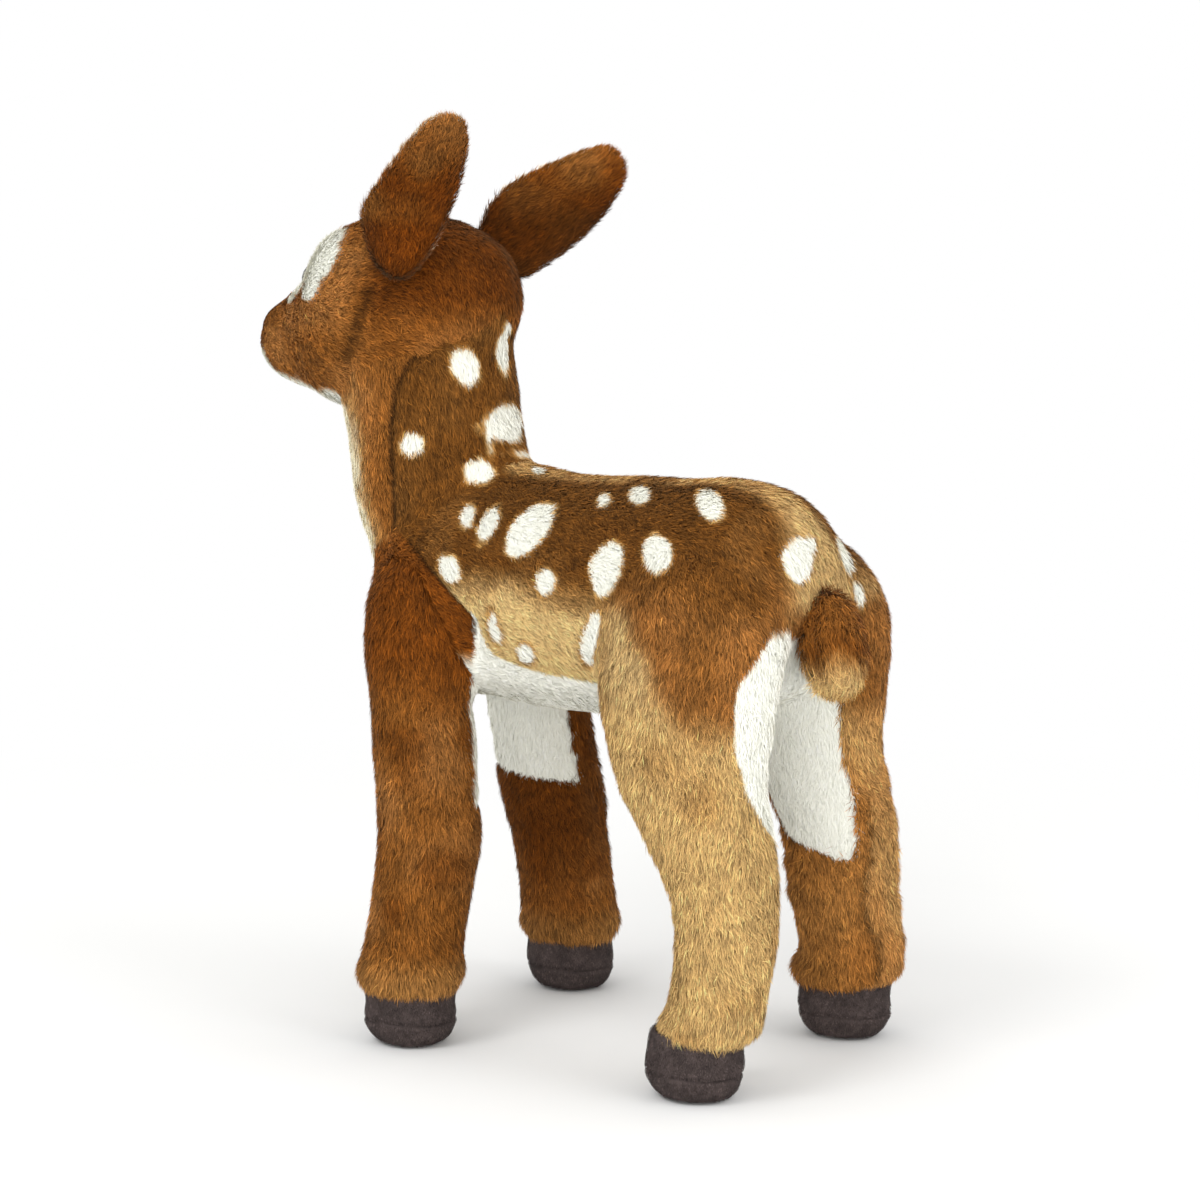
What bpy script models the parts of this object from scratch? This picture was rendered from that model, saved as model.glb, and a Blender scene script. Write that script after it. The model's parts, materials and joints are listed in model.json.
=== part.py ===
"""Standing plush fawn at its real size, in metres, +Z up, facing -Y.

Pile fabric panels are thin shells cut from swelling forms, with fibre filling inside.
The ears and the tail are sewn pieces that bend at their seams.
"""

import math

import bmesh
import bpy
from mathutils import Matrix, Vector
from mathutils.bvhtree import BVHTree

# Body
BACK_HEIGHT = 0.242
TORSO_LENGTH = 0.217
TORSO_WIDTH = 0.096
TORSO_DEPTH = 0.101
RUMP_REACH = 0.093
STANCE_MIDDLE = 0.041

# Neck and head
NECK_WIDTH = 0.068
NECK_DEPTH = 0.072
NECK_SETBACK = 0.1865
NECK_LEAN = 0.0145
HEAD_RISE = 0.070
HEAD_LENGTH = 0.128
HEAD_WIDTH = 0.080
HEAD_HEIGHT = 0.078

# Legs and hooves
STANCE_WIDTH = 0.118
STANCE_LENGTH = 0.148
FRONT_LEG_WIDTH = 0.038
FRONT_LEG_DEPTH = 0.041
HIND_LEG_WIDTH = 0.038
HIND_LEG_DEPTH = 0.042
HOOF_WIDTH = 0.0365
HOOF_LENGTH = 0.041
HOOF_HEIGHT = 0.028
SOLE_HEIGHT = 0.011
HOOF_SETBACK = 0.002
SOLE_CUT = 0.0005

# Ears and tail
EAR_LENGTH = 0.077
EAR_WIDTH = 0.041
EAR_THICKNESS = 0.009
EAR_CUP = 0.0055
TAIL_LENGTH = 0.037
TAIL_WIDTH = 0.028
TAIL_THICKNESS = 0.019

# Eyes and nose
EYE_WIDTH = 0.0135
EYE_BULGE = 0.0044
NOSE_WIDTH = 0.017
NOSE_BULGE = 0.0045
SHANK_WIDTH = 0.003
SHANK_LENGTH = 0.009
WASHER_WIDTH = 0.008
WASHER_THICKNESS = 0.0012
WASHER_SETBACK = 0.0032

# Fabric and clearances
FABRIC = 0.003
GAP = 0.0003
SEAT_GAP = 0.0006
OVERRUN = 0.004
WELD = 0.000001
EASE_WEIGHT = 6

# How finely the forms are divided
SHELL_SIDES = 8
LINING_SIDES = 10
TURN_STEPS = 12
DOME_POINTS = 4

# Torso: run from rump to chest, half width, drop of the back, rise of the belly
TORSO_SHARES = (
    (0.015, 0.46, 0.26, 0.32),
    (0.06, 0.84, 0.09, 0.16),
    (0.15, 1.00, 0.01, 0.05),
    (0.30, 1.00, 0.00, 0.00),
    (0.46, 0.99, 0.01, 0.00),
    (0.62, 0.98, 0.01, 0.00),
    (0.78, 0.96, 0.02, 0.03),
    (0.90, 0.87, 0.07, 0.12),
    (0.97, 0.64, 0.17, 0.28),
)
TORSO_TIP_SHARE = 0.50

# Neck: rise from the torso's middle to the head's middle, lean, half width, half depth
NECK_SHARES = (
    (0.00, -0.10, 0.78, 0.74),
    (0.22, 0.32, 1.07, 1.06),
    (0.50, 0.55, 1.02, 1.02),
    (0.75, 0.83, 1.00, 1.00),
    (0.97, 1.00, 0.98, 0.97),
)

# Head: run from nape to muzzle, half width, droop, half height
HEAD_SHARES = (
    (0.04, 0.48, -0.02, 0.49),
    (0.16, 0.87, -0.01, 0.89),
    (0.32, 1.00, 0.00, 1.00),
    (0.48, 0.99, 0.02, 1.05),
    (0.62, 0.86, 0.06, 0.97),
    (0.72, 0.68, 0.12, 0.74),
    (0.82, 0.50, 0.17, 0.53),
    (0.92, 0.43, 0.20, 0.42),
    (0.98, 0.30, 0.21, 0.30),
)
HEAD_TIP_SHARES = (-0.02, 0.21)
SKULL_RUN_SHARE = 0.32
FACE_DROOP_SHARE = 0.16
GUSSET_DROOP_SHARE = 0.16

# Legs: height from floor to hip, spread and run from hip to hoof, half width, half depth
FRONT_LEG_SHARES = (
    (1.00, 0.00, 0.00, 0.89, 0.98),
    (0.86, 0.21, 0.23, 1.11, 1.15),
    (0.67, 0.41, 0.62, 0.94, 0.94),
    (0.48, 0.62, 1.24, 0.95, 1.05),
    (0.36, 0.74, 1.22, 0.91, 0.93),
    (0.24, 0.87, 1.08, 0.93, 0.87),
)
HIND_LEG_SHARES = (
    (1.00, 0.00, 0.00, 0.95, 1.43),
    (0.86, 0.31, 0.09, 1.24, 1.93),
    (0.70, 0.46, 0.06, 1.22, 1.82),
    (0.57, 0.56, 0.33, 1.08, 1.33),
    (0.44, 0.69, 1.20, 0.98, 1.01),
    (0.31, 0.83, 1.42, 0.91, 0.76),
    (0.20, 0.94, 1.28, 0.93, 0.86),
)
ANKLE_SHARES = (1.02, 0.99)
FRONT_HIP_SHARES = (0.31, 0.36, 0.162)
HIND_HIP_SHARES = (0.31, 0.255, 0.179)

# Hoof: height from the sole, half width, half length
HOOF_SHARES = (
    (0.93, 0.98, 0.96),
    (0.30, 1.06, 1.05),
)
SOLE_SHARE = 0.78
HIP_EASE_SHARE = 5.0

# Ear and tail blades: run from seam to tip, half width, half thickness, cup
EAR_SHARES = (
    (0.00, 0.54, 1.00, 0.0),
    (0.16, 0.82, 0.95, 0.5),
    (0.42, 1.00, 0.85, 1.0),
    (0.72, 0.92, 0.80, 0.9),
    (0.94, 0.52, 0.65, 0.4),
)
TAIL_SHARES = (
    (0.00, 0.62, 0.50, 0.0),
    (0.35, 0.94, 1.00, 0.0),
    (0.72, 1.00, 0.95, 0.0),
    (0.95, 0.55, 0.55, 0.0),
)

BLADE_TWIST_SHARE = 0.50
BLADE_TIP_SHARE = 0.05
BLADE_END_SHARE = 0.33

# Outline of one fabric leaf: place across, rise from the seam side to the outer side
LEAF_OUTLINE_SHARES = (
    (-1.0, 0.30),
    (-0.50, 1.10),
    (0.50, 1.10),
    (1.0, 0.30),
    (0.50, 0.0),
    (-0.50, 0.0),
)

# Directions of seats and blades: outward, backward, upward
EAR_SEAT_SHARES = (0.84, 0.25, 0.42)
LEFT_EAR_LEAN_SHARES = (0.18, 0.55, 0.84)
RIGHT_EAR_LEAN_SHARES = (0.53, 0.55, 0.65)
LEFT_EAR_FACE_SHARES = (-0.45, -0.89, 0.0)
RIGHT_EAR_FACE_SHARES = (0.30, -0.95, 0.0)
EYE_SEAT_SHARES = (0.46, -0.46, 0.76)
EYE_RUN_SHARE = 0.60
NOSE_SEAT_SHARES = (0.0, -0.97, 0.25)
NOSE_RUN_SHARE = 0.86
NOSE_FLAT_SHARE = 0.72
RIM_SHARE = 0.94
TAIL_SEAT_SHARE = 0.46
TAIL_LEAN_SHARES = (0.32, 0.30, -0.90)

# Seams between the panels
BELLY_SEAM_SHARES = (
    (1.10, 0.80),
    (0.91, 0.80),
    (0.87, 0.46),
    (0.78, 0.42),
    (0.66, 0.37),
    (0.52, 0.22),
    (0.38, 0.18),
    (0.16, 0.19),
    (0.08, 0.30),
    (0.03, 0.45),
    (-0.10, 0.46),
)
THROAT_SEAM_SHARE = 0.22
GUSSET_WIDTH_SHARE = 0.30
CHIN_SEAM_SHARE = 0.60
FRONT_INNER_SHARES = (0.15, 0.515, 0.15)
HIND_INNER_SHARES = (0.50, 0.435, 0.32)

# Colours: red, green, blue
SPOTTED_BROWN = (0.26, 0.13, 0.045)
RUSSET = (0.30, 0.13, 0.04)
GOLDEN_TAN = (0.48, 0.28, 0.11)
WARM_WHITE = (0.86, 0.85, 0.80)
HOOF_GREY = (0.07, 0.055, 0.055)
FIBRE_WHITE = (0.80, 0.80, 0.78)
EYE_BROWN = (0.02, 0.012, 0.008)
NOSE_BLACK = (0.012, 0.011, 0.012)
WASHER_CLEAR = (0.60, 0.60, 0.58)

# Roughness of each kind of surface
PILE_ROUGHNESS = 0.95
SUEDE_ROUGHNESS = 0.90
FIBRE_ROUGHNESS = 1.0
EYE_ROUGHNESS = 0.08
NOSE_ROUGHNESS = 0.30
WASHER_ROUGHNESS = 0.40

SMOOTH_ANGLE = math.radians(40)

torso_rump = STANCE_MIDDLE + RUMP_REACH
torso_middle = BACK_HEIGHT - TORSO_DEPTH / 2
head_middle = BACK_HEIGHT + HEAD_RISE


def clear_scene():
    """Remove what the scene holds at the start."""
    for item in list(bpy.data.objects):
        bpy.data.objects.remove(item, do_unlink=True)


def new_collection(name):
    """Add a collection to the scene."""
    group = bpy.data.collections.new(name)
    bpy.context.scene.collection.children.link(group)
    return group


def fabric(name, colour, roughness):
    """Make a plain material for one kind of surface."""
    material = bpy.data.materials.new(name)
    material.use_nodes = True
    shader = material.node_tree.nodes["Principled BSDF"]
    shader.inputs["Base Color"].default_value = (*colour, 1.0)
    shader.inputs["Roughness"].default_value = roughness
    return material


def add_object(name, mesh, group, place=(0.0, 0.0, 0.0)):
    """Put a mesh in a collection as a named object."""
    item = bpy.data.objects.new(name, mesh)
    item.location = place
    group.objects.link(item)
    return item


def as_cutter(item):
    """Show a cutting form as wires only."""
    item.hide_render = True
    item.display_type = "WIRE"
    return item


def mesh_from(bm, name):
    """Turn a working mesh into mesh data with its faces pointing out."""
    bmesh.ops.recalc_face_normals(bm, faces=bm.faces)
    mesh = bpy.data.meshes.new(name)
    bm.to_mesh(mesh)
    bm.free()
    return mesh


def subdivide(item):
    """Round a coarse cage with one level of subdivision."""
    modifier = item.modifiers.new("Soft form", "SUBSURF")
    modifier.levels = 1
    modifier.render_levels = 1
    return item


def facet(item):
    """Give a cutting form flat triangles, so that cuts are exact."""
    item.modifiers.new("Flat facets", "TRIANGULATE")
    return as_cutter(item)


def eased(rings, tips):
    """Draw each ring towards its neighbours, as far as one subdivision would."""
    first, last = ([Vector(tip)] * len(rings[0]) for tip in tips)
    rows = [first, *rings, last]
    weights = EASE_WEIGHT + 2
    result = []
    for before, row, after in zip(rows, rows[1:], rows[2:]):
        result.append([(a + EASE_WEIGHT * b + c) / weights for a, b, c in zip(before, row, after)])
    return result


def loft(name, rings, tips, group, rounded=True):
    """Join rings of points into a closed cage with a tip at each end."""
    rings = rings if rounded else eased(rings, tips)
    bm = bmesh.new()
    rows = [[bm.verts.new(point) for point in ring] for ring in rings]
    count = len(rows[0])
    for low, high in zip(rows, rows[1:]):
        for k in range(count):
            n = (k + 1) % count
            bm.faces.new((low[k], low[n], high[n], high[k]))
    for row, tip in zip((rows[0], rows[-1]), tips):
        middle = bm.verts.new(tip)
        for k in range(count):
            bm.faces.new((row[k], row[(k + 1) % count], middle))
    item = add_object(name, mesh_from(bm, name), group)
    return subdivide(item) if rounded else item


def oval(centre, side, rise, sides):
    """Points of an oval ring, widened on a cage that is rounded later."""
    swell = 1 / math.cos(math.pi / sides) if sides == SHELL_SIDES else 1.0
    turns = [2 * math.pi * k / sides for k in range(sides)]
    return [centre + swell * (side * math.cos(t) + rise * math.sin(t)) for t in turns]


def evaluated(item):
    """Mesh data of an object with its modifiers carried out, in clean triangles."""
    graph = bpy.context.evaluated_depsgraph_get()
    graph.update()
    mesh = bpy.data.meshes.new_from_object(item.evaluated_get(graph))
    bm = bmesh.new()
    bm.from_mesh(mesh)
    bmesh.ops.remove_doubles(bm, verts=bm.verts, dist=WELD)
    bmesh.ops.dissolve_degenerate(bm, edges=bm.edges, dist=WELD)
    bmesh.ops.triangulate(bm, faces=bm.faces)
    loose = [edge for edge in bm.edges if not edge.link_faces]
    bmesh.ops.delete(bm, geom=loose, context="EDGES")
    bm.to_mesh(mesh)
    bm.free()
    return mesh


def boolean(item, cutter, operation):
    """Add one exact boolean to an object."""
    modifier = item.modifiers.new(operation.title(), "BOOLEAN")
    modifier.operation = operation
    modifier.solver = "EXACT"
    modifier.object = cutter
    return item


def carve(name, source, removed, kept, group):
    """Copy a form, take away the removed forms and keep what lies in the kept forms."""
    item = as_cutter(add_object(name, evaluated(source), group, source.location))
    for cutter in removed:
        boolean(item, cutter, "DIFFERENCE")
    for cutter in kept:
        boolean(item, cutter, "INTERSECT")
    return item


def settle(item, group):
    """Replace an object by a plain copy with its modifiers carried out."""
    plain = add_object(item.name + "_shell", evaluated(item), group, item.location)
    return as_cutter(plain)


def trim_offcuts(mesh):
    """Keep the largest body of a mesh and drop the offcuts beside it."""
    bm = bmesh.new()
    bm.from_mesh(mesh)
    left = set(bm.verts)
    bodies = []
    while left:
        body = set()
        edge_of = [left.pop()]
        while edge_of:
            vertex = edge_of.pop()
            body.add(vertex)
            near = {edge.other_vert(vertex) for edge in vertex.link_edges} & left
            left -= near
            edge_of.extend(near)
        bodies.append(body)
    largest = max(bodies, key=len)
    bmesh.ops.delete(bm, geom=[v for v in bm.verts if v not in largest], context="VERTS")
    bm.to_mesh(mesh)
    bm.free()


def finish(item, material, group):
    """Turn a carved form into a finished node with one material."""
    mesh = evaluated(item)
    trim_offcuts(mesh)
    mesh.materials.clear()
    mesh.materials.append(material)
    mesh.shade_smooth()
    mesh.set_sharp_from_angle(angle=SMOOTH_ANGLE)
    name = item.name
    place = item.location.copy()
    bpy.data.objects.remove(item, do_unlink=True)
    return add_object(name, mesh, group, place)


def mirrored(item, name, group):
    """Copy a finished node to the other side of the animal."""
    bm = bmesh.new()
    bm.from_mesh(item.data)
    bmesh.ops.scale(bm, vec=(-1.0, 1.0, 1.0), verts=bm.verts)
    bmesh.ops.reverse_faces(bm, faces=bm.faces)
    mesh = bpy.data.meshes.new(name)
    bm.to_mesh(mesh)
    bm.free()
    for material in item.data.materials:
        mesh.materials.append(material)
    place = item.location.copy()
    place.x = -place.x
    return add_object(name, mesh, group, place)


def block(name, low, high, group, turn=None):
    """A box cutter between two corners, turned about a point if asked."""
    bm = bmesh.new()
    low = Vector(low)
    high = Vector(high)
    bmesh.ops.create_cube(bm, size=1.0)
    bmesh.ops.scale(bm, vec=high - low, verts=bm.verts)
    bmesh.ops.translate(bm, vec=(low + high) / 2, verts=bm.verts)
    if turn:
        bmesh.ops.transform(bm, matrix=turn, verts=bm.verts)
    return as_cutter(add_object(name, mesh_from(bm, name), group))


def side_prism(name, outline, half_width, group):
    """A cutter with an outline in side view, reaching across the whole width."""
    bm = bmesh.new()
    points = [bm.verts.new((-half_width, y, z)) for y, z in outline]
    face = bm.faces.new(points)
    grown = bmesh.ops.extrude_face_region(bm, geom=[face])["geom"]
    moved = [g for g in grown if isinstance(g, bmesh.types.BMVert)]
    bmesh.ops.translate(bm, vec=(2 * half_width, 0.0, 0.0), verts=moved)
    return as_cutter(add_object(name, mesh_from(bm, name), group))


def rod(name, foot, direction, radius, length, group):
    """A round cutter that starts at a point and runs in a direction."""
    bm = bmesh.new()
    bmesh.ops.create_cone(
        bm, cap_ends=True, segments=TURN_STEPS, radius1=radius, radius2=radius, depth=length
    )
    bmesh.ops.translate(bm, vec=(0.0, 0.0, length / 2), verts=bm.verts)
    turn = direction.to_track_quat("Z", "Y").to_matrix().to_4x4()
    bmesh.ops.transform(bm, matrix=Matrix.Translation(foot) @ turn, verts=bm.verts)
    return as_cutter(add_object(name, mesh_from(bm, name), group))


def torso_form(name, inset, sides, group):
    """The torso's swelling form, from rump to chest."""
    rings = []
    for run, width, drop, rise in TORSO_SHARES:
        top = BACK_HEIGHT - drop * TORSO_DEPTH - inset
        bottom = BACK_HEIGHT - TORSO_DEPTH + rise * TORSO_DEPTH + inset
        y = torso_rump - inset - run * (TORSO_LENGTH - 2 * inset)
        centre = Vector((0.0, y, (top + bottom) / 2))
        side = Vector((width * TORSO_WIDTH / 2 - inset, 0.0, 0.0))
        rings.append(oval(centre, side, Vector((0.0, 0.0, (top - bottom) / 2)), sides))
    z = BACK_HEIGHT - TORSO_TIP_SHARE * TORSO_DEPTH
    tips = ((0.0, torso_rump - inset, z), (0.0, torso_rump - TORSO_LENGTH + inset, z))
    return facet(loft(name, rings, tips, group, sides == SHELL_SIDES))


def neck_point(rise, lean):
    """A point on the neck's middle line."""
    y = torso_rump - NECK_SETBACK - lean * NECK_LEAN
    return Vector((0.0, y, torso_middle + rise * (head_middle - torso_middle)))


def neck_form(name, inset, sides, group):
    """The neck's column, from inside the torso to inside the head."""
    rings = []
    for rise, lean, width, depth in NECK_SHARES:
        side = Vector((width * NECK_WIDTH / 2 - inset, 0.0, 0.0))
        back = Vector((0.0, depth * NECK_DEPTH / 2 - inset, 0.0))
        rings.append(oval(neck_point(rise, lean), side, back, sides))
    first = NECK_SHARES[0]
    last = NECK_SHARES[-1]
    tips = (neck_point(first[0], first[1]), neck_point(last[0], last[1]))
    return facet(loft(name, rings, tips, group, sides == SHELL_SIDES))


def head_point(run, droop):
    """A point on the head's middle line."""
    nape = neck_point(1.0, 1.0).y + SKULL_RUN_SHARE * HEAD_LENGTH
    return Vector((0.0, nape - run * HEAD_LENGTH, head_middle - droop * HEAD_HEIGHT))


def head_form(name, inset, sides, group):
    """The head, from the nape to the tip of the muzzle."""
    rings = []
    margin = inset / HEAD_LENGTH
    for run, width, droop, height in HEAD_SHARES:
        centre = head_point(margin + run * (1 - 2 * margin), droop)
        side = Vector((width * HEAD_WIDTH / 2 - inset, 0.0, 0.0))
        rise = Vector((0.0, 0.0, height * HEAD_HEIGHT / 2 - inset))
        rings.append(oval(centre, side, rise, sides))
    back, front = HEAD_TIP_SHARES
    low = head_point(margin, back)
    high = head_point(1 - margin, front)
    return facet(loft(name, rings, (low, high), group, sides == SHELL_SIDES))


class Limb:
    """Sizes of one left leg, worked out from the torso and the stance."""

    def __init__(self, shares, hip_shares, width, depth, end):
        aside, drop, inward = hip_shares
        self.shares = shares
        self.width = width
        self.depth = depth
        rear = torso_rump - inward * TORSO_LENGTH
        front = torso_rump - TORSO_LENGTH + inward * TORSO_LENGTH
        self.hip = Vector(
            (
                aside * TORSO_WIDTH,
                rear if end > 0 else front,
                BACK_HEIGHT - drop * TORSO_DEPTH,
            )
        )
        foot_y = STANCE_MIDDLE + end * STANCE_LENGTH / 2
        self.hoof = Vector((STANCE_WIDTH / 2, foot_y - HOOF_SETBACK * (end > 0), 0.0))
        self.ankle = Vector((STANCE_WIDTH / 2, foot_y + HOOF_SETBACK * (end > 0), HOOF_HEIGHT))

    def line(self, height, spread, run):
        """A point on the leg's middle line."""
        x = self.hip.x + spread * (self.ankle.x - self.hip.x)
        y = self.hip.y + run * (self.ankle.y - self.hip.y)
        return Vector((x, y, height * self.hip.z))

    def ring(self, centre, half_width, half_depth, inset, sides):
        """One level ring round the leg."""
        side = Vector((half_width - inset, 0.0, 0.0))
        back = Vector((0.0, half_depth - inset, 0.0))
        return oval(centre, side, back, sides)

    def form(self, name, inset, sides, group):
        """The leg with its hoof, from inside the torso to the floor."""
        rings = []
        top = self.line(*self.shares[0][:3]) - Vector((0.0, 0.0, HIP_EASE_SHARE * inset))
        for height, spread, run, width, depth in self.shares:
            centre = self.line(height, spread, run)
            centre.z = min(centre.z, top.z)
            sizes = (width * self.width / 2, depth * self.depth / 2)
            rings.append(self.ring(centre, *sizes, inset, sides))
        wide, deep = ANKLE_SHARES
        centre = self.ankle + Vector((0.0, 0.0, FABRIC))
        sizes = (wide * self.width / 2, deep * self.depth / 2)
        rings.append(self.ring(centre, *sizes, inset, sides))
        for height, width, length in HOOF_SHARES:
            lift = height * HOOF_HEIGHT + inset * (1 - height)
            centre = self.hoof + Vector((0.0, 0.0, lift))
            sizes = (width * HOOF_WIDTH / 2, length * HOOF_LENGTH / 2)
            rings.append(self.ring(centre, *sizes, inset, sides))
        bottom = self.hoof + Vector((0.0, 0.0, inset - SOLE_CUT * (inset <= 0)))
        sizes = (SOLE_SHARE * HOOF_WIDTH / 2, SOLE_SHARE * HOOF_LENGTH / 2)
        rings.append(self.ring(bottom, *sizes, inset, sides))
        return facet(loft(name, rings, (top, bottom), group, sides == SHELL_SIDES))


def blade_rings(length, width, thickness, cup, shares, frame_at, face):
    """Rings of one of the two fabric leaves of an ear or tail."""
    rings = []
    for run, wide, thick, cupped in shares:
        along, across, out = frame_at(run)
        half = wide * width / 2
        bulge = face * thick * thickness / 2
        seam = face * GAP / 2
        depth = cupped * cup
        ring = []
        for u, level in LEAF_OUTLINE_SHARES:
            rise = seam + level * (bulge - seam) + depth * u * u
            ring.append(along * run * length + across * u * half + out * rise)
        rings.append(ring)
    return rings


def blade(names, sizes, shares, seat, lean, face_out, tangent, hinge_lift, groups, materials):
    """Two leaves, back and front, that hang on one seam line."""
    length, width, thickness, cup = sizes
    parts, cutters = groups
    along = lean.normalized()
    seam = (tangent - along * tangent.dot(along)).normalized()
    flat = along.cross(face_out).normalized()
    if flat.dot(seam) < 0:
        flat = -flat

    def frame_at(run):
        turn = min(1.0, run / BLADE_TWIST_SHARE)
        across = (seam * (1 - turn) + flat * turn).normalized()
        across = (across - along * across.dot(along)).normalized()
        out = across.cross(along)
        if out.dot(face_out) < 0:
            out = -out
        return along, across, out

    pieces = []
    for name, face, material in zip(names, (-1.0, 1.0), materials):
        rings = blade_rings(length, width, thickness, cup, shares, frame_at, face)
        tips = []
        root_reach = -shares[0][2] * thickness / 2
        ends = ((shares[0], root_reach), (shares[-1], length * BLADE_TIP_SHARE))
        for (run, _, thick, _), reach in ends:
            out = frame_at(run)[2]
            rise = face * (GAP / 2 + BLADE_END_SHARE * thick * thickness / 2)
            tips.append(along * (run * length + reach) + out * rise)
        piece = loft(name, rings, tips, cutters)
        piece.location = seat + hinge_lift
        pieces.append(finish(piece, material, parts))
    return pieces, seam


def ray_on(form, start, direction):
    """Where a ray from inside a form leaves it, and the surface's direction there."""
    tree = BVHTree.FromPolygons(
        [v.co for v in form.data.vertices], [p.vertices for p in form.data.polygons]
    )
    point, normal, _, _ = tree.ray_cast(start, direction.normalized())
    if normal.dot(direction) < 0:
        normal = -normal
    return point, normal


def seat_distance(pieces, form, direction):
    """How far pieces can move in a direction before they touch a form."""
    tree = BVHTree.FromPolygons(
        [v.co for v in form.data.vertices], [p.vertices for p in form.data.polygons]
    )
    reach = []
    for piece in pieces:
        for vertex in piece.data.vertices:
            hit = tree.ray_cast(piece.location + vertex.co, direction)
            if hit[3] is not None:
                reach.append(hit[3])
    return min(reach)


def turned(name, profile, material, group):
    """A round piece turned about its own Z axis from a profile at +X."""
    bm = bmesh.new()
    points = [bm.verts.new((x, 0.0, z)) for x, z in profile]
    for one, two in zip(points, points[1:]):
        bm.edges.new((one, two))
    mesh = bpy.data.meshes.new(name)
    bm.to_mesh(mesh)
    bm.free()
    item = add_object(name, mesh, group)
    screw = item.modifiers.new("Turn", "SCREW")
    screw.steps = TURN_STEPS
    screw.render_steps = TURN_STEPS
    screw.use_merge_vertices = True
    screw.merge_threshold = WELD
    return finish(item, material, group)


def dome_profile(radius, bulge):
    """Profile of a safety eye or nose: a dome with a shank behind it."""
    arc = []
    for k in range(DOME_POINTS + 1):
        turn = math.pi / 2 * k / DOME_POINTS
        arc.append((radius * math.sin(turn), bulge * math.cos(turn)))
    shank = [
        (radius * RIM_SHARE, -GAP),
        (SHANK_WIDTH / 2, -GAP),
        (SHANK_WIDTH / 2, -SHANK_LENGTH),
        (0.0, -SHANK_LENGTH),
    ]
    return arc + shank


def washer_profile():
    """Profile of the lock washer that grips a shank."""
    bore = SHANK_WIDTH / 2 + GAP / 2
    rim = WASHER_WIDTH / 2
    return [
        (bore, WASHER_THICKNESS / 2),
        (rim, WASHER_THICKNESS / 2),
        (rim, -WASHER_THICKNESS / 2),
        (bore, -WASHER_THICKNESS / 2),
        (bore, WASHER_THICKNESS / 2),
    ]


def place_along(item, point, direction, stretch=(1.0, 1.0, 1.0)):
    """Stand a turned piece on a point, along a direction."""
    turn = direction.to_track_quat("Z", "Y").to_matrix().to_4x4()
    shape = Matrix.Diagonal((*stretch, 1.0))
    item.data.transform(turn @ shape)
    item.location = point


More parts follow.
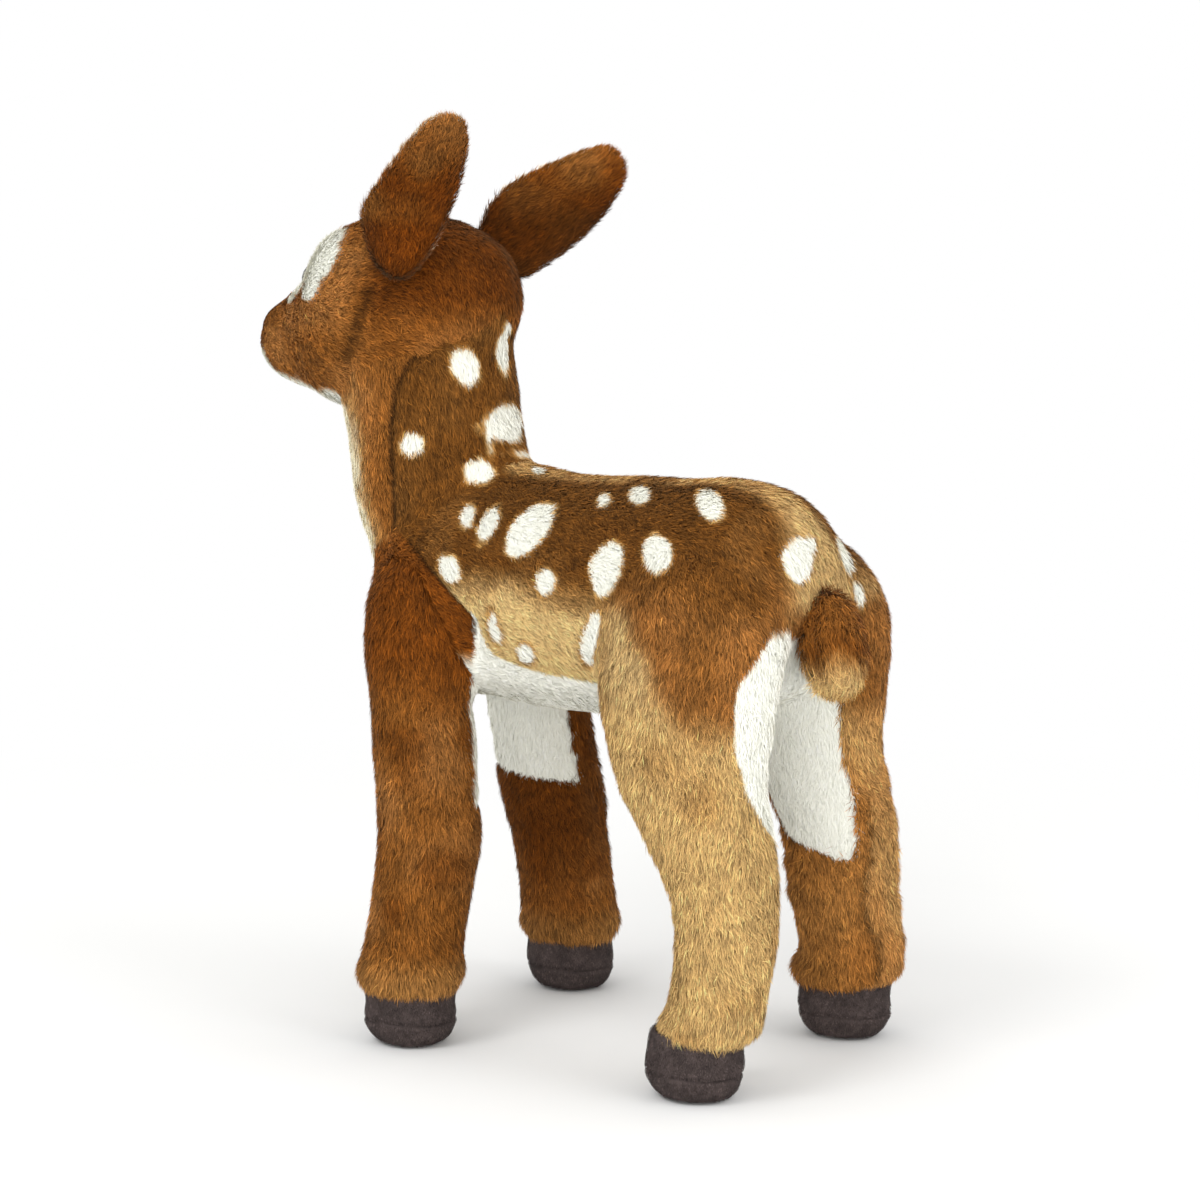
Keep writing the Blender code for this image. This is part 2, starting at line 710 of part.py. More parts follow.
def main():
    clear_scene()
    parts = new_collection("plush_fawn")
    cutters = new_collection("cutting_forms")

    spotted = fabric("spotted_pile", SPOTTED_BROWN, PILE_ROUGHNESS)
    russet = fabric("russet_pile", RUSSET, PILE_ROUGHNESS)
    golden = fabric("golden_pile", GOLDEN_TAN, PILE_ROUGHNESS)
    white = fabric("white_pile", WARM_WHITE, PILE_ROUGHNESS)
    suede = fabric("hoof_suede", HOOF_GREY, SUEDE_ROUGHNESS)
    fibre = fabric("fibre_filling", FIBRE_WHITE, FIBRE_ROUGHNESS)
    eye_plastic = fabric("eye_plastic", EYE_BROWN, EYE_ROUGHNESS)
    nose_plastic = fabric("nose_plastic", NOSE_BLACK, NOSE_ROUGHNESS)
    clear_plastic = fabric("washer_plastic", WASHER_CLEAR, WASHER_ROUGHNESS)

    # Forms: outer skin, inner skin, filling and grown copy of each
    def family(maker, label):
        outer = maker(label + "_outer", 0.0, SHELL_SIDES, cutters)
        inner = maker(label + "_inner", FABRIC, LINING_SIDES, cutters)
        filling = maker(label + "_core", FABRIC + GAP, LINING_SIDES, cutters)
        grown = maker(label + "_grown", -GAP, SHELL_SIDES, cutters)
        return outer, inner, filling, grown

    torso_outer, torso_inner, torso_core, torso_grown = family(torso_form, "torso")
    neck_outer, neck_inner, neck_core, neck_grown = family(neck_form, "neck")
    head_outer, head_inner, head_core, head_grown = family(head_form, "head")
    limbs = {
        "front": Limb(FRONT_LEG_SHARES, FRONT_HIP_SHARES, FRONT_LEG_WIDTH, FRONT_LEG_DEPTH, -1),
        "hind": Limb(HIND_LEG_SHARES, HIND_HIP_SHARES, HIND_LEG_WIDTH, HIND_LEG_DEPTH, 1),
    }
    limb_forms = {end: family(limb.form, end) for end, limb in limbs.items()}

    far = TORSO_LENGTH + HEAD_LENGTH
    tall = BACK_HEIGHT + HEAD_RISE + HEAD_HEIGHT

    # Torso shell, open where the neck and the legs pass through it
    openings = [torso_inner, neck_inner]
    for end, forms in limb_forms.items():
        openings.append(forms[1])
        openings.append(as_cutter(mirrored(settle(forms[1], cutters), end + "_inner_right", cutters)))
    torso_shell = settle(carve("torso", torso_outer, openings, [], cutters), cutters)
    left_half = block("left_half", (GAP / 2, -far, -tall), (far, far, tall), cutters)

    def belly_outline(shift):
        low = BACK_HEIGHT - TORSO_DEPTH
        points = []
        for run, rise in BELLY_SEAM_SHARES:
            points.append((torso_rump - run * TORSO_LENGTH, low + rise * TORSO_DEPTH + shift))
        under = low - OVERRUN
        return points + [(points[-1][0], under), (points[0][0], under)]

    below_seam = side_prism("below_seam", belly_outline(-GAP / 2), TORSO_WIDTH, cutters)
    grown_seam = side_prism("grown_seam", belly_outline(GAP / 2), TORSO_WIDTH, cutters)
    back = carve("left_back_panel", torso_shell, [grown_seam], [left_half], cutters)
    back = finish(back, spotted, parts)
    mirrored(back, "right_back_panel", parts)
    belly = carve("belly_panel", torso_shell, [], [below_seam], cutters)
    finish(belly, white, parts)
    finish(carve("torso_filling", torso_core, [], [], cutters), fibre, parts)

    # Neck shell, cut by the torso and the head
    neck_shell = carve("neck", neck_outer, [neck_inner, torso_grown, head_grown], [], cutters)
    neck_shell = settle(neck_shell, cutters)
    seam_y = neck_point(0.5, 0.5).y - THROAT_SEAM_SHARE * NECK_DEPTH
    throat_side = block("throat_side", (-far, -far, -tall), (far, seam_y - GAP / 2, tall), cutters)
    nape_side = block("nape_side", (-far, seam_y + GAP / 2, -tall), (far, far, tall), cutters)
    nape = carve("left_nape_panel", neck_shell, [], [nape_side, left_half], cutters)
    nape = finish(nape, spotted, parts)
    mirrored(nape, "right_nape_panel", parts)
    finish(carve("throat_panel", neck_shell, [], [throat_side], cutters), russet, parts)
    neck_filling = carve("neck_filling", neck_core, [torso_inner, head_inner], [], cutters)
    finish(neck_filling, fibre, parts)

    # Eyes and nose, seated on the head's form
    head_skin = settle(head_outer, cutters)
    shank_holes = []
    washer_pockets = []
    seats = (
        ("left_eye", EYE_RUN_SHARE, EYE_SEAT_SHARES, 1.0, EYE_WIDTH, EYE_BULGE, eye_plastic),
        ("right_eye", EYE_RUN_SHARE, EYE_SEAT_SHARES, -1.0, EYE_WIDTH, EYE_BULGE, eye_plastic),
        ("nose", NOSE_RUN_SHARE, NOSE_SEAT_SHARES, 1.0, NOSE_WIDTH, NOSE_BULGE, nose_plastic),
    )
    for name, run, aim, hand, width, bulge, plastic in seats:
        direction = Vector((hand * aim[0], aim[1], aim[2]))
        point, normal = ray_on(head_skin, head_point(run, FACE_DROOP_SHARE), direction)
        stretch = (1.0, NOSE_FLAT_SHARE, 1.0) if name == "nose" else (1.0, 1.0, 1.0)
        dome = turned(name, dome_profile(width / 2, bulge), plastic, parts)
        place_along(dome, point + normal * 2 * GAP, normal, stretch)
        ring = turned(name + "_washer", washer_profile(), clear_plastic, parts)
        depth = FABRIC + WASHER_SETBACK + WASHER_THICKNESS / 2
        place_along(ring, point - normal * depth, normal)
        top = point + normal * OVERRUN
        bore = SHANK_WIDTH / 2 + GAP
        shank_holes.append(rod(name + "_hole", top, -normal, bore, 2 * OVERRUN, cutters))
        top = point - normal * (FABRIC - GAP)
        pocket = WASHER_WIDTH / 2 + GAP
        reach = SHANK_LENGTH + GAP
        washer_pockets.append(rod(name + "_pocket", top, -normal, pocket, reach, cutters))

    # Head shell, open where the neck passes through it
    head_shell = carve("head", head_outer, [head_inner, neck_inner, *shank_holes], [], cutters)
    head_shell = settle(head_shell, cutters)
    half = GUSSET_WIDTH_SHARE * HEAD_WIDTH / 2
    crown = head_point(0.0, GUSSET_DROOP_SHARE).z
    strip = (half, far, tall)
    gusset_box = block("gusset", (-half, -far, crown), strip, cutters)
    wide = (half + GAP, far, tall)
    gusset_grown = block("gusset_grown", (-half - GAP, -far, crown - GAP), wide, cutters)
    chin_z = head_middle - CHIN_SEAM_SHARE * HEAD_HEIGHT / 2
    chin_box = block("chin", (-far, -far, -tall), (far, far, chin_z), cutters)
    chin_grown = block("chin_grown", (-far, -far, -tall), (far, far, chin_z + GAP), cutters)
    gusset = carve("head_gusset", head_shell, [], [gusset_box], cutters)
    finish(gusset, russet, parts)
    finish(carve("chin_panel", head_shell, [], [chin_box], cutters), white, parts)
    cheek = carve("left_cheek_panel", head_shell, [gusset_grown, chin_grown], [left_half], cutters)
    cheek = finish(cheek, russet, parts)
    mirrored(cheek, "right_cheek_panel", parts)
    stuffing = carve("head_filling", head_core, washer_pockets, [], cutters)
    finish(stuffing, fibre, parts)

    # Legs: outer and inner panel, hoof cover, sole and filling
    inner_seams = {"front": FRONT_INNER_SHARES, "hind": HIND_INNER_SHARES}
    outers = {"front": russet, "hind": golden}
    for end, limb in limbs.items():
        outer, inner, core, _ = limb_forms[end]
        larger = [torso_grown, neck_grown]
        shell = settle(carve(end + "_leg", outer, [inner, *larger], [], cutters), cutters)
        aside, height, slope = inner_seams[end]
        splay = math.atan2(limb.ankle.x - limb.hip.x, limb.hip.z - limb.ankle.z)
        seam_x = -aside * limb.width / 2
        pivot = Matrix.Translation(limb.hip) @ Matrix.Rotation(-splay, 4, "Y")
        lower = limb.line(height, height, height)
        tilt = Matrix.Translation(lower) @ Matrix.Rotation(-math.atan(slope), 4, "X")

        def inner_region(label, grow):
            side = block(label, (-far, -far, -tall), (seam_x + grow, far, tall), cutters, pivot)
            top = (far, far, tall)
            upper = block(label + "_upper", (-far, -far, -grow), top, cutters, tilt)
            boolean(side, upper, "INTERSECT")
            return settle(side, cutters)

        region = inner_region(end + "_inner_side", -GAP / 2)
        grown = inner_region(end + "_inner_side_grown", GAP / 2)
        high = (far, far, tall)
        over = block(end + "_over", (-far, -far, HOOF_HEIGHT + GAP / 2), high, cutters)
        high = (far, far, HOOF_HEIGHT - GAP / 2)
        band = block(end + "_band", (-far, -far, SOLE_HEIGHT + GAP / 2), high, cutters)
        high = (far, far, SOLE_HEIGHT - GAP / 2)
        under = block(end + "_under", (-far, -far, 0.0), high, cutters)
        left = "{}_left_".format(end)
        right = "{}_right_".format(end)
        cuts = (
            ("leg_outer_panel", shell, [grown], [over], outers[end]),
            ("leg_inner_panel", shell, [], [region], white),
            ("hoof_cover", shell, [], [band], suede),
            ("hoof_sole", shell, [], [under], suede),
            ("leg_filling", core, [torso_inner, neck_grown], [], fibre),
        )
        for label, source, removed, kept, material in cuts:
            piece = finish(carve(left + label, source, removed, kept, cutters), material, parts)
            mirrored(piece, right + label, parts)

    # Ears, each of two leaves on a bent seam
    groups = (parts, cutters)
    joints = {}
    ear_sizes = (EAR_LENGTH, EAR_WIDTH, EAR_THICKNESS, EAR_CUP)
    ears = (
        ("left", 1.0, LEFT_EAR_LEAN_SHARES, LEFT_EAR_FACE_SHARES),
        ("right", -1.0, RIGHT_EAR_LEAN_SHARES, RIGHT_EAR_FACE_SHARES),
    )
    for side, hand, lean, front in ears:
        hands = Vector((hand, 1.0, 1.0))
        aim = Vector(EAR_SEAT_SHARES) * hands
        along = Vector(lean) * hands
        face = Vector(front) * hands
        point, normal = ray_on(head_skin, head_point(SKULL_RUN_SHARE, 0.0), aim)
        tangent = normal.cross(along)
        names = (side + "_ear_back", side + "_ear_lining")
        leaves, seam = blade(
            names, ear_sizes, EAR_SHARES, point, along, face, tangent, normal * EAR_THICKNESS,
            groups, (russet, white),
        )
        travel = seat_distance(leaves, head_skin, -normal) - SEAT_GAP
        for leaf in leaves:
            leaf.location -= normal * travel
        joints[side + "_ear"] = (leaves[0].location.copy(), seam)

    # Tail, of a top and an underside
    torso_skin = settle(torso_outer, cutters)
    z = BACK_HEIGHT - TAIL_SEAT_SHARE * TORSO_DEPTH
    inside = Vector((0.0, torso_rump - TORSO_LENGTH / 2, z))
    point, normal = ray_on(torso_skin, inside, Vector((0.0, 1.0, 0.0)))
    normal = Vector((0.0, normal.y, normal.z)).normalized()
    tail_sizes = (TAIL_LENGTH, TAIL_WIDTH, TAIL_THICKNESS, 0.0)
    lean = Vector(TAIL_LEAN_SHARES)
    face = Vector((0.0, lean.z, -lean.y))
    leaves, seam = blade(
        ("tail_top", "tail_underside"), tail_sizes, TAIL_SHARES, point, lean, face,
        Vector((1.0, 0.0, 0.0)), normal * TAIL_THICKNESS, groups, (russet, white),
    )
    travel = seat_distance(leaves, torso_skin, -normal) - SEAT_GAP
    for leaf in leaves:
        leaf.location -= normal * travel
    joints["tail"] = (leaves[0].location.copy(), seam)

    for name, (place, axis) in joints.items():
        print("joint", name, [round(v, 5) for v in place], [round(v, 5) for v in axis])
    bpy.context.view_layer.update()


main()
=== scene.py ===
"""Looks of the standing plush fawn: pile fabric, suede hooves, plastic eyes and nose.

The pile is short bent blades on a smooth skin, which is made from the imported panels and
keeps their form. Places are in the row frame, in metres. A named pair of values is a fade:
where it starts, and where it is full.
"""

import json
import math
from collections import namedtuple

import bmesh
import bpy
import numpy as np
from mathutils import Matrix, Vector
from mathutils.bvhtree import BVHTree


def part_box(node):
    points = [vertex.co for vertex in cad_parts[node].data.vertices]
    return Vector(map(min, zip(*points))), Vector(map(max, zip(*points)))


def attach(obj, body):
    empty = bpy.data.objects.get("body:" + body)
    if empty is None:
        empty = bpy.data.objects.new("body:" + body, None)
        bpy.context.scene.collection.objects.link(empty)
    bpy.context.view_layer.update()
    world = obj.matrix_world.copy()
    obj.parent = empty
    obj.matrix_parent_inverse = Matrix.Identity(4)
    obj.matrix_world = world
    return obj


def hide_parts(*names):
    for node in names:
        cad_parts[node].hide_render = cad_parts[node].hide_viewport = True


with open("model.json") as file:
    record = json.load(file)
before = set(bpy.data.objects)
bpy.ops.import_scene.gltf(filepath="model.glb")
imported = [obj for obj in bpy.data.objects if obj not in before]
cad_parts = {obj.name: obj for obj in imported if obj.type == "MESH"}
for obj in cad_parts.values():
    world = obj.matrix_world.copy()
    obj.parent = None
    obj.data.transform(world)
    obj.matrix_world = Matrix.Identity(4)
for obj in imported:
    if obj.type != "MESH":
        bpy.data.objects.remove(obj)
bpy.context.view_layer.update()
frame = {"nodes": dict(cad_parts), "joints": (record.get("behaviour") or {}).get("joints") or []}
NODES = frame["nodes"]
SCENE = bpy.context.scene
RNG = np.random.default_rng(11)
MM_PER_M = 1000

# Pile: blades per square metre, widths of a blade, how far the skin is stuffed out, and the
# most blades in one piece
DENSITY = 4.8e6
BLADE_WIDTH, NAP_WIDTH = 0.00032, 0.00022
FULLNESS = 0.0012
MOST_BLADES = 95000

# Hooves: top of the suede, height of the sole's seam, and radius of the plain middle
HOOF_TOP, SOLE_SEAM, HOOF_CORE = 0.028, 0.011, 0.0135

LEGS = ("front_left", "front_right", "hind_left", "hind_right")
TORSO_PANELS = ["left_back_panel", "right_back_panel", "belly_panel"]
NECK_PANELS = ["left_nape_panel", "right_nape_panel", "throat_panel"]
HEAD_PANELS = ["left_cheek_panel", "right_cheek_panel", "head_gusset", "chin_panel"]
LEG_PANELS = [leg + part for leg in LEGS for part in ("_leg_outer_panel", "_leg_inner_panel")]
BODY_PANELS = TORSO_PANELS + NECK_PANELS + HEAD_PANELS + LEG_PANELS
FILLINGS = ["torso_filling", "neck_filling", "head_filling"] + [
    leg + "_leg_filling" for leg in LEGS
]
HINGES = {joint["child"]: np.array(joint["pos_m"]) for joint in frame["joints"]}

# Colours of the pile as the screen shows them, 0 to 255
DARK = np.array((112, 70, 27.0))
BROWN = np.array((130, 86, 40.0))
LIGHT = np.array((186, 150, 98.0))
TAN = np.array((229, 194, 134.0))
GOLD = np.array((203, 166, 108.0))
RUSSET = np.array((162, 107, 54.0))
RUST = np.array((142, 88, 36.0))
DEEP = np.array((98, 50, 10.0))
CREAM = np.array((240, 228, 200.0))
HALO = np.array((186, 140, 80.0))
WHITE = np.array((250, 250, 240.0))
LINING = np.array((238, 222, 200.0))
LINING_PINK = np.array((226, 190, 168.0))
SUEDE_TONE = np.array((76, 66, 64.0))
WHITE_FADE = (180, 235)
BRIGHTEST = 253

# White spots on the left and the middle, in millimetres: centre, half axis, half axis
SPOTS = [
    (16, -35, 287, -5.2, 3.3, 2.1, -1.4, 2.5, -7.4),
    (-6, -27, 295, 4.8, 1.0, 0.0, 1.5, 1.5, -12.0),
    (32, -50, 254, -1.0, 5.4, 0.2, 0.3, 0.2, -4.6),
    (-1, -26, 262, -14.0, -3.0, -1.2, 2.6, 1.9, -8.0),
    (11, -28, 259, -1.8, 0.5, -0.1, 1.0, 0.7, -6.4),
    (17, -29, 242, -4.8, 3.5, -0.2, 0.6, 0.4, -5.0),
    (-6, -25, 248, -8.0, -2.0, -0.9, 0.3, 0.2, -1.8),
    (36, -19, 226, 0.5, 4.1, -0.5, -3.2, -0.7, 5.0),
    (38, -6, 223, 0.7, 4.5, -1.0, -4.8, 1.1, 7.6),
    (39, 16, 223, 2.3, 8.8, -3.4, -6.8, 5.4, 11.0),
    (47, -21, 204, -0.1, 4.9, 1.9, 1.2, 3.6, -5.5),
    (48, 31, 202, 0.0, 5.1, 0.4, -1.1, -0.8, 5.6),
    (47, 61, 210, 0.0, 8.4, 0.6, -2.2, -0.6, 11.3),
    (44, 86, 215, 1.0, 7.8, -0.1, -6.3, -3.5, 6.8),
    (26, 45, 235, 1.2, 3.7, -0.7, -3.3, -0.7, 2.3),
    (22, 60, 238, 0.4, 5.6, -0.2, -5.5, -3.2, 3.8),
    (5, -3, 240, -0.4, 3.2, 0.2, 4.1, 2.4, -0.6),
    (24, 97, 235, 1.0, 7.0, -0.6, -7.3, -4.9, 5.2),
    (47, 4, 180, 0.1, 3.0, 0.3, 1.3, -0.9, 7.0),
    (43, 18, 171, 0.4, 4.6, -0.6, -2.2, -1.4, -4.6),
    (47, 55, 181, -0.1, 5.0, -0.4, 2.3, 4.8, 12.1),
    (13, 130, 214, -8.4, 3.0, 0.6, 3.4, 2.2, -9.4),
    (4, 131, 219, -5.6, 1.2, 1.8, 1.6, 1.5, -4.4),
    (-24, 126, 212, 7.5, 4.0, -1.0, 1.0, 2.0, -7.6),
    (-28, 133, 197, -3.0, 0.9, 0.5, -0.9, 1.3, -5.2),
]
# The right side repeats the left flank's spots, moved a little
RIGHT_SHIFTS = ((2, -3), (-3, 2), (4, 3), (-2, -2), (3, -4), (-4, 1), (1, 4))
MIDDLE_SPOTS = 0.0165
SPOT_REACH, SPOT_DEPTH = 0.024, 0.012
SPOT_EDGE = (-0.0005, 0.0008)
HALO_EDGE = (-0.0018, -0.0003)
OUTSIDE = -9.0

# The photograph's seams: heights, and how far back each runs there
COLLAR = ((0.205, 0.262, 0.275, 0.288, 0.299), (-0.0570, -0.0600, -0.0585, -0.0530, -0.0420))
SHOULDER = (
    (0.158, 0.172, 0.184, 0.188, 0.198, 0.208, 0.217),
    (-0.014, -0.010, -0.0075, -0.012, -0.025, -0.038, -0.055),
)
CHEEK_FOLD = ((0.286, 0.292, 0.303, 0.316, 0.326), (-0.0860, -0.0820, -0.0750, -0.0690, -0.0660))
# Edge of the white belly along the flank, and of the white strip down the left hind leg
FLANK_EDGE = (
    (-0.008, -0.005, -0.003, 0.0, 0.012, 0.028, 0.050),
    (0.186, 0.184, 0.173, 0.167, 0.1635, 0.162, 0.161),
)
STRIP_EDGE = (
    (0.110, 0.118, 0.126, 0.138, 0.158, 0.168, 0.175, 0.182, 0.187),
    (0.0465, 0.0505, 0.054, 0.0562, 0.0571, 0.0557, 0.052, 0.0474, 0.0425),
)
STRIP_FOOT = ((0.028, 0.046), (0.090, 0.110))
# Top of the spotted coat on the back of the head, by distance from the middle
NAPE_TOP = ((0.0, 0.007, 0.018, 0.027, 0.030), (0.310, 0.305, 0.2995, 0.2955, 0.290))

# Half width of a crisp edge between two colours, and how far out a side is wholly itself
CRISP = 0.0006
SIDE_FADE = 0.01
# The shade along a seam: half width, depth, and length of its fading ends
SEAM_LINE, SEAM_SHADE, SEAM_END = 0.0014, 0.42, 0.006


def linear(colour):
    """Screen colour, 0 to 255, as scene-linear values."""
    c = np.clip(np.asarray(colour, float), 0, 255) / 255
    return np.where(c <= 0.04045, c / 12.92, ((c + 0.055) / 1.055) ** 2.4)


def unit(v):
    return v / np.maximum(np.linalg.norm(v, axis=-1, keepdims=True), 1e-12)


def step(low, high, x):
    """Smooth rise from 0 at the low value to 1 at the high one, which may be the smaller."""
    t = np.clip((x - low) / (high - low), 0, 1)
    return t * t * (3 - 2 * t)


def past(x, soft=CRISP):
    """1 where a length is over zero, with a crisp edge."""
    return step(-soft, soft, x)


def on_right(p):
    return step(0.0, -SIDE_FADE, p[:, 0])


def on_left(p):
    return step(0.0, SIDE_FADE, p[:, 0])


def mirrored(p):
    """The same places, all moved to the left side."""
    q = p.copy()
    q[:, 0] = np.abs(q[:, 0])
    return q


def inward(p, n):
    """How much the surface faces the toy's middle plane."""
    return -n[:, 0] * np.sign(p[:, 0])


def noise(p, size, seed):
    """Smooth value noise from -1 to 1 on a lattice of the given size."""
    q = p / size + 91.7
    cell = np.floor(q).astype(np.int64)
    f = q - cell
    f = f * f * (3 - 2 * f)
    total = 0
    for corner in range(8):
        ends = np.array((corner & 1, corner >> 1 & 1, corner >> 2 & 1))
        h = (cell + ends) * np.array((73856093, 19349663, 83492791))
        h = h[:, 0] ^ h[:, 1] ^ h[:, 2] ^ seed * 2654435761
        h = (h ^ (h >> 13)) * 1274126177 & 0xFFFFFFFF
        h = (h ^ (h >> 15)) * 2246822519 & 0xFFFFFFFF
        weight = np.where(ends == 1, f, 1 - f).prod(axis=1)
        total = total + weight * ((h ^ (h >> 16)) / 0xFFFFFFFF * 2 - 1)
    return total


def clouds(p, size, seed, low, high):
    """Soft patches from 0 to 1."""
    return step(low, high, noise(p, size, seed))


def mix(a, b, t):
    return a + (b - a) * np.asarray(t)[:, None]


def flat(colour, p):
    return np.tile(np.array(colour, float), (len(p), 1))


def mottled(p, one, two, size, seed, low, high):
    """One colour with soft patches of another."""
    return mix(flat(one, p), two, clouds(p, size, seed, low, high))


def paleness(colour):
    """1 where a colour is nearly white."""
    return step(*WHITE_FADE, colour.min(axis=1))


def point_normals(points, tris):
    a, b, c = (points[tris[:, k]] for k in range(3))
    face = np.cross(b - a, c - a)
    total = np.zeros_like(points)
    for axis in range(3):
        for corner in range(3):
            total[:, axis] += np.bincount(tris[:, corner], face[:, axis], len(points))
    return unit(total)


def arrays(mesh):
    """Points and triangles of a mesh."""
    mesh.calc_loop_triangles()
    points = np.empty(len(mesh.vertices) * 3, np.float32)
    mesh.vertices.foreach_get("co", points)
    tris = np.empty(len(mesh.loop_triangles) * 3, np.int32)
    mesh.loop_triangles.foreach_get("vertices", tris)
    return points.reshape(-1, 3).astype(float), tris.reshape(-1, 3)


def add_object(name, mesh):
    item = bpy.data.objects.new(name, mesh)
    SCENE.collection.objects.link(item)
    return item


def outer_body(mesh):
    """Drop what lies inside: keep the body with the most points."""
    bm = bmesh.new()
    bm.from_mesh(mesh)
    left = set(bm.verts)
    largest = set()
    while left:
        seed = left.pop()
        body = {seed}
        todo = [seed]
        while todo:
            vertex = todo.pop()
            for edge in vertex.link_edges:
                other = edge.other_vert(vertex)
                if other in left:
                    left.discard(other)
                    body.add(other)
                    todo.append(other)
        if len(body) > len(largest):
            largest = body
    drop = [v for v in bm.verts if v not in largest]
    bmesh.ops.delete(bm, geom=drop, context="VERTS")
    bm.to_mesh(mesh)
    bm.free()
    return mesh


def joined(names):
    """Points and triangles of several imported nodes, and the node of each triangle."""
    points, faces, owner, start = [], [], [], 0
    for name in names:
        co, tris = arrays(NODES[name].data)
        points.append(co)
        faces.append(tris + start)
        owner += [name] * len(tris)
        start += len(co)
    return np.vstack(points), np.vstack(faces), owner


def merged_form(label, names, voxel, rounds):
    """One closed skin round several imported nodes: its points and triangles."""
    points, faces, _ = joined(names)
    mesh = bpy.data.meshes.new(label + "_raw")
    mesh.from_pydata(points.tolist(), [], faces.tolist())
    item = add_object(label + "_raw", mesh)
    remesh = item.modifiers.new("Skin", "REMESH")
    remesh.mode = "VOXEL"
    remesh.voxel_size = voxel
    smooth = item.modifiers.new("Ease", "SMOOTH")
    smooth.factor = 0.5
    smooth.iterations = rounds
    graph = bpy.context.evaluated_depsgraph_get()
    graph.update()
    made = bpy.data.meshes.new_from_object(item.evaluated_get(graph))
    bpy.data.objects.remove(item, do_unlink=True)
    points, tris = arrays(outer_body(made))
    bpy.data.meshes.remove(made)
    return points, tris


def owners_of(middles, names):
    """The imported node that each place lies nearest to."""
    points, faces, owner = joined(names)
    tree = BVHTree.FromPolygons(points.tolist(), faces.tolist())
    return np.array([owner[tree.find_nearest(Vector(m))[2]] for m in middles])


def edges_of(tris):
    pairs = np.vstack([tris[:, [0, 1]], tris[:, [1, 2]], tris[:, [2, 0]]])
    return np.unique(np.sort(pairs, axis=1), axis=0)


def relaxed(points, edges, weight, rounds):
    """Ease the skin where the weight is high."""
    a, b = edges[:, 0], edges[:, 1]
    count = np.bincount(a, minlength=len(points)) + np.bincount(b, minlength=len(points))
    moved = points.copy()
    for _ in range(rounds):
        total = np.empty_like(moved)
        for axis in range(3):
            total[:, axis] = np.bincount(a, moved[b, axis], len(points))
            total[:, axis] += np.bincount(b, moved[a, axis], len(points))
        moved += (total / count[:, None] - moved) * (0.6 * weight)[:, None]
    return moved


def seam_reach(points, tris, edges, labels, pairs, rounds):
    """Distance along the skin from the seams between pairs of labels."""
    kinds = sorted(set(labels))
    mark = np.zeros((len(points), len(kinds)), bool)
    for k, kind in enumerate(kinds):
        mark[np.unique(tris[labels == kind]), k] = True
    far = np.full(len(points), 1.0)
    for one, two in pairs:
        if one in kinds and two in kinds:
            far[mark[:, kinds.index(one)] & mark[:, kinds.index(two)]] = 0.0
    a, b = edges[:, 0], edges[:, 1]
    length = np.linalg.norm(points[a] - points[b], axis=1)
    for _ in range(rounds):
        np.minimum.at(far, b, far[a] + length)
        np.minimum.at(far, a, far[b] + length)
    return far


def spot_table():
    rows = [np.asarray(spot, float) / MM_PER_M for spot in SPOTS]
    for k, spot in enumerate(list(rows)):
        if spot[0] > MIDDLE_SPOTS:
            twin = spot.copy()
            twin[[0, 3, 6]] *= -1
            twin[1:3] += np.array(RIGHT_SHIFTS[k % len(RIGHT_SHIFTS)]) / MM_PER_M
            rows.append(twin)
    return rows


SPOT_ROWS = spot_table()


def spot_field(p):
    """How deep inside a white spot each point is: over 0 is inside."""
    wobble = 0.0007 * noise(p, 0.004, 5) + 0.0004 * noise(p, 0.0017, 6)
    best = np.full(len(p), OUTSIDE)
    for row in SPOT_ROWS:
        q = p - row[:3]
        near = np.linalg.norm(q, axis=1) < SPOT_REACH
        if not near.any():
            continue
        q = q[near]
        u, v = row[3:6], row[6:9]
        grid = np.array(((u @ u, u @ v), (u @ v, v @ v)))
        s, t = np.linalg.solve(grid, np.stack([q @ u, q @ v]))
        n = np.cross(u, v)
        n = n / np.linalg.norm(n)
        small = min(np.linalg.norm(u), np.linalg.norm(v))
        value = (1 - np.sqrt(s * s + t * t)) * small + wobble[near]
        value = np.where(np.abs(q @ n) < SPOT_DEPTH, value, OUTSIDE)
        best[near] = np.maximum(best[near], value)
    return best


def spotted(c, p):
    field = spot_field(p)
    c = mix(c, HALO, step(*HALO_EDGE, field))
    return mix(c, WHITE, step(*SPOT_EDGE, field))


# Pale ridge along the spine, partly the pile's own pale tips and partly a painted highlight
# along the back's top, with a brown gap in it
RIDGE_HALF = (0.017, 0.007)
RIDGE_HEIGHT = (0.215, 0.235)
RIDGE_GAP_START = (0.040, 0.050)
RIDGE_GAP_END = (0.072, 0.062)
# Flank: where it pales and ends, and how far back the hind quarters begin
FLANK_HEIGHT = (0.208, 0.188)
FLANK_END = (0.066, 0.060)
REAR = (0.052, 0.076)
# Hind quarters: heights of russet, tan and gold, and where the tan ends behind
HAUNCH_HEIGHT = (0.222, 0.192)
THIGH_HEIGHT = (0.206, 0.190)
THIGH_FRONT = (0.101, 0.080)
SHANK_HEIGHT = (0.166, 0.142)
THIGH_LEVEL, SHANK_START = 0.18, 0.10
# Tan over the rump on the left, and over its middle on the right
RUMP_START = (0.084, 0.10)
RUMP_BACK = (0.113, 0.130)
RUMP_HEIGHT = (0.185, 0.200)
RUMP_MIDDLE, RUMP_RIGHT_END = 0.008, 0.024


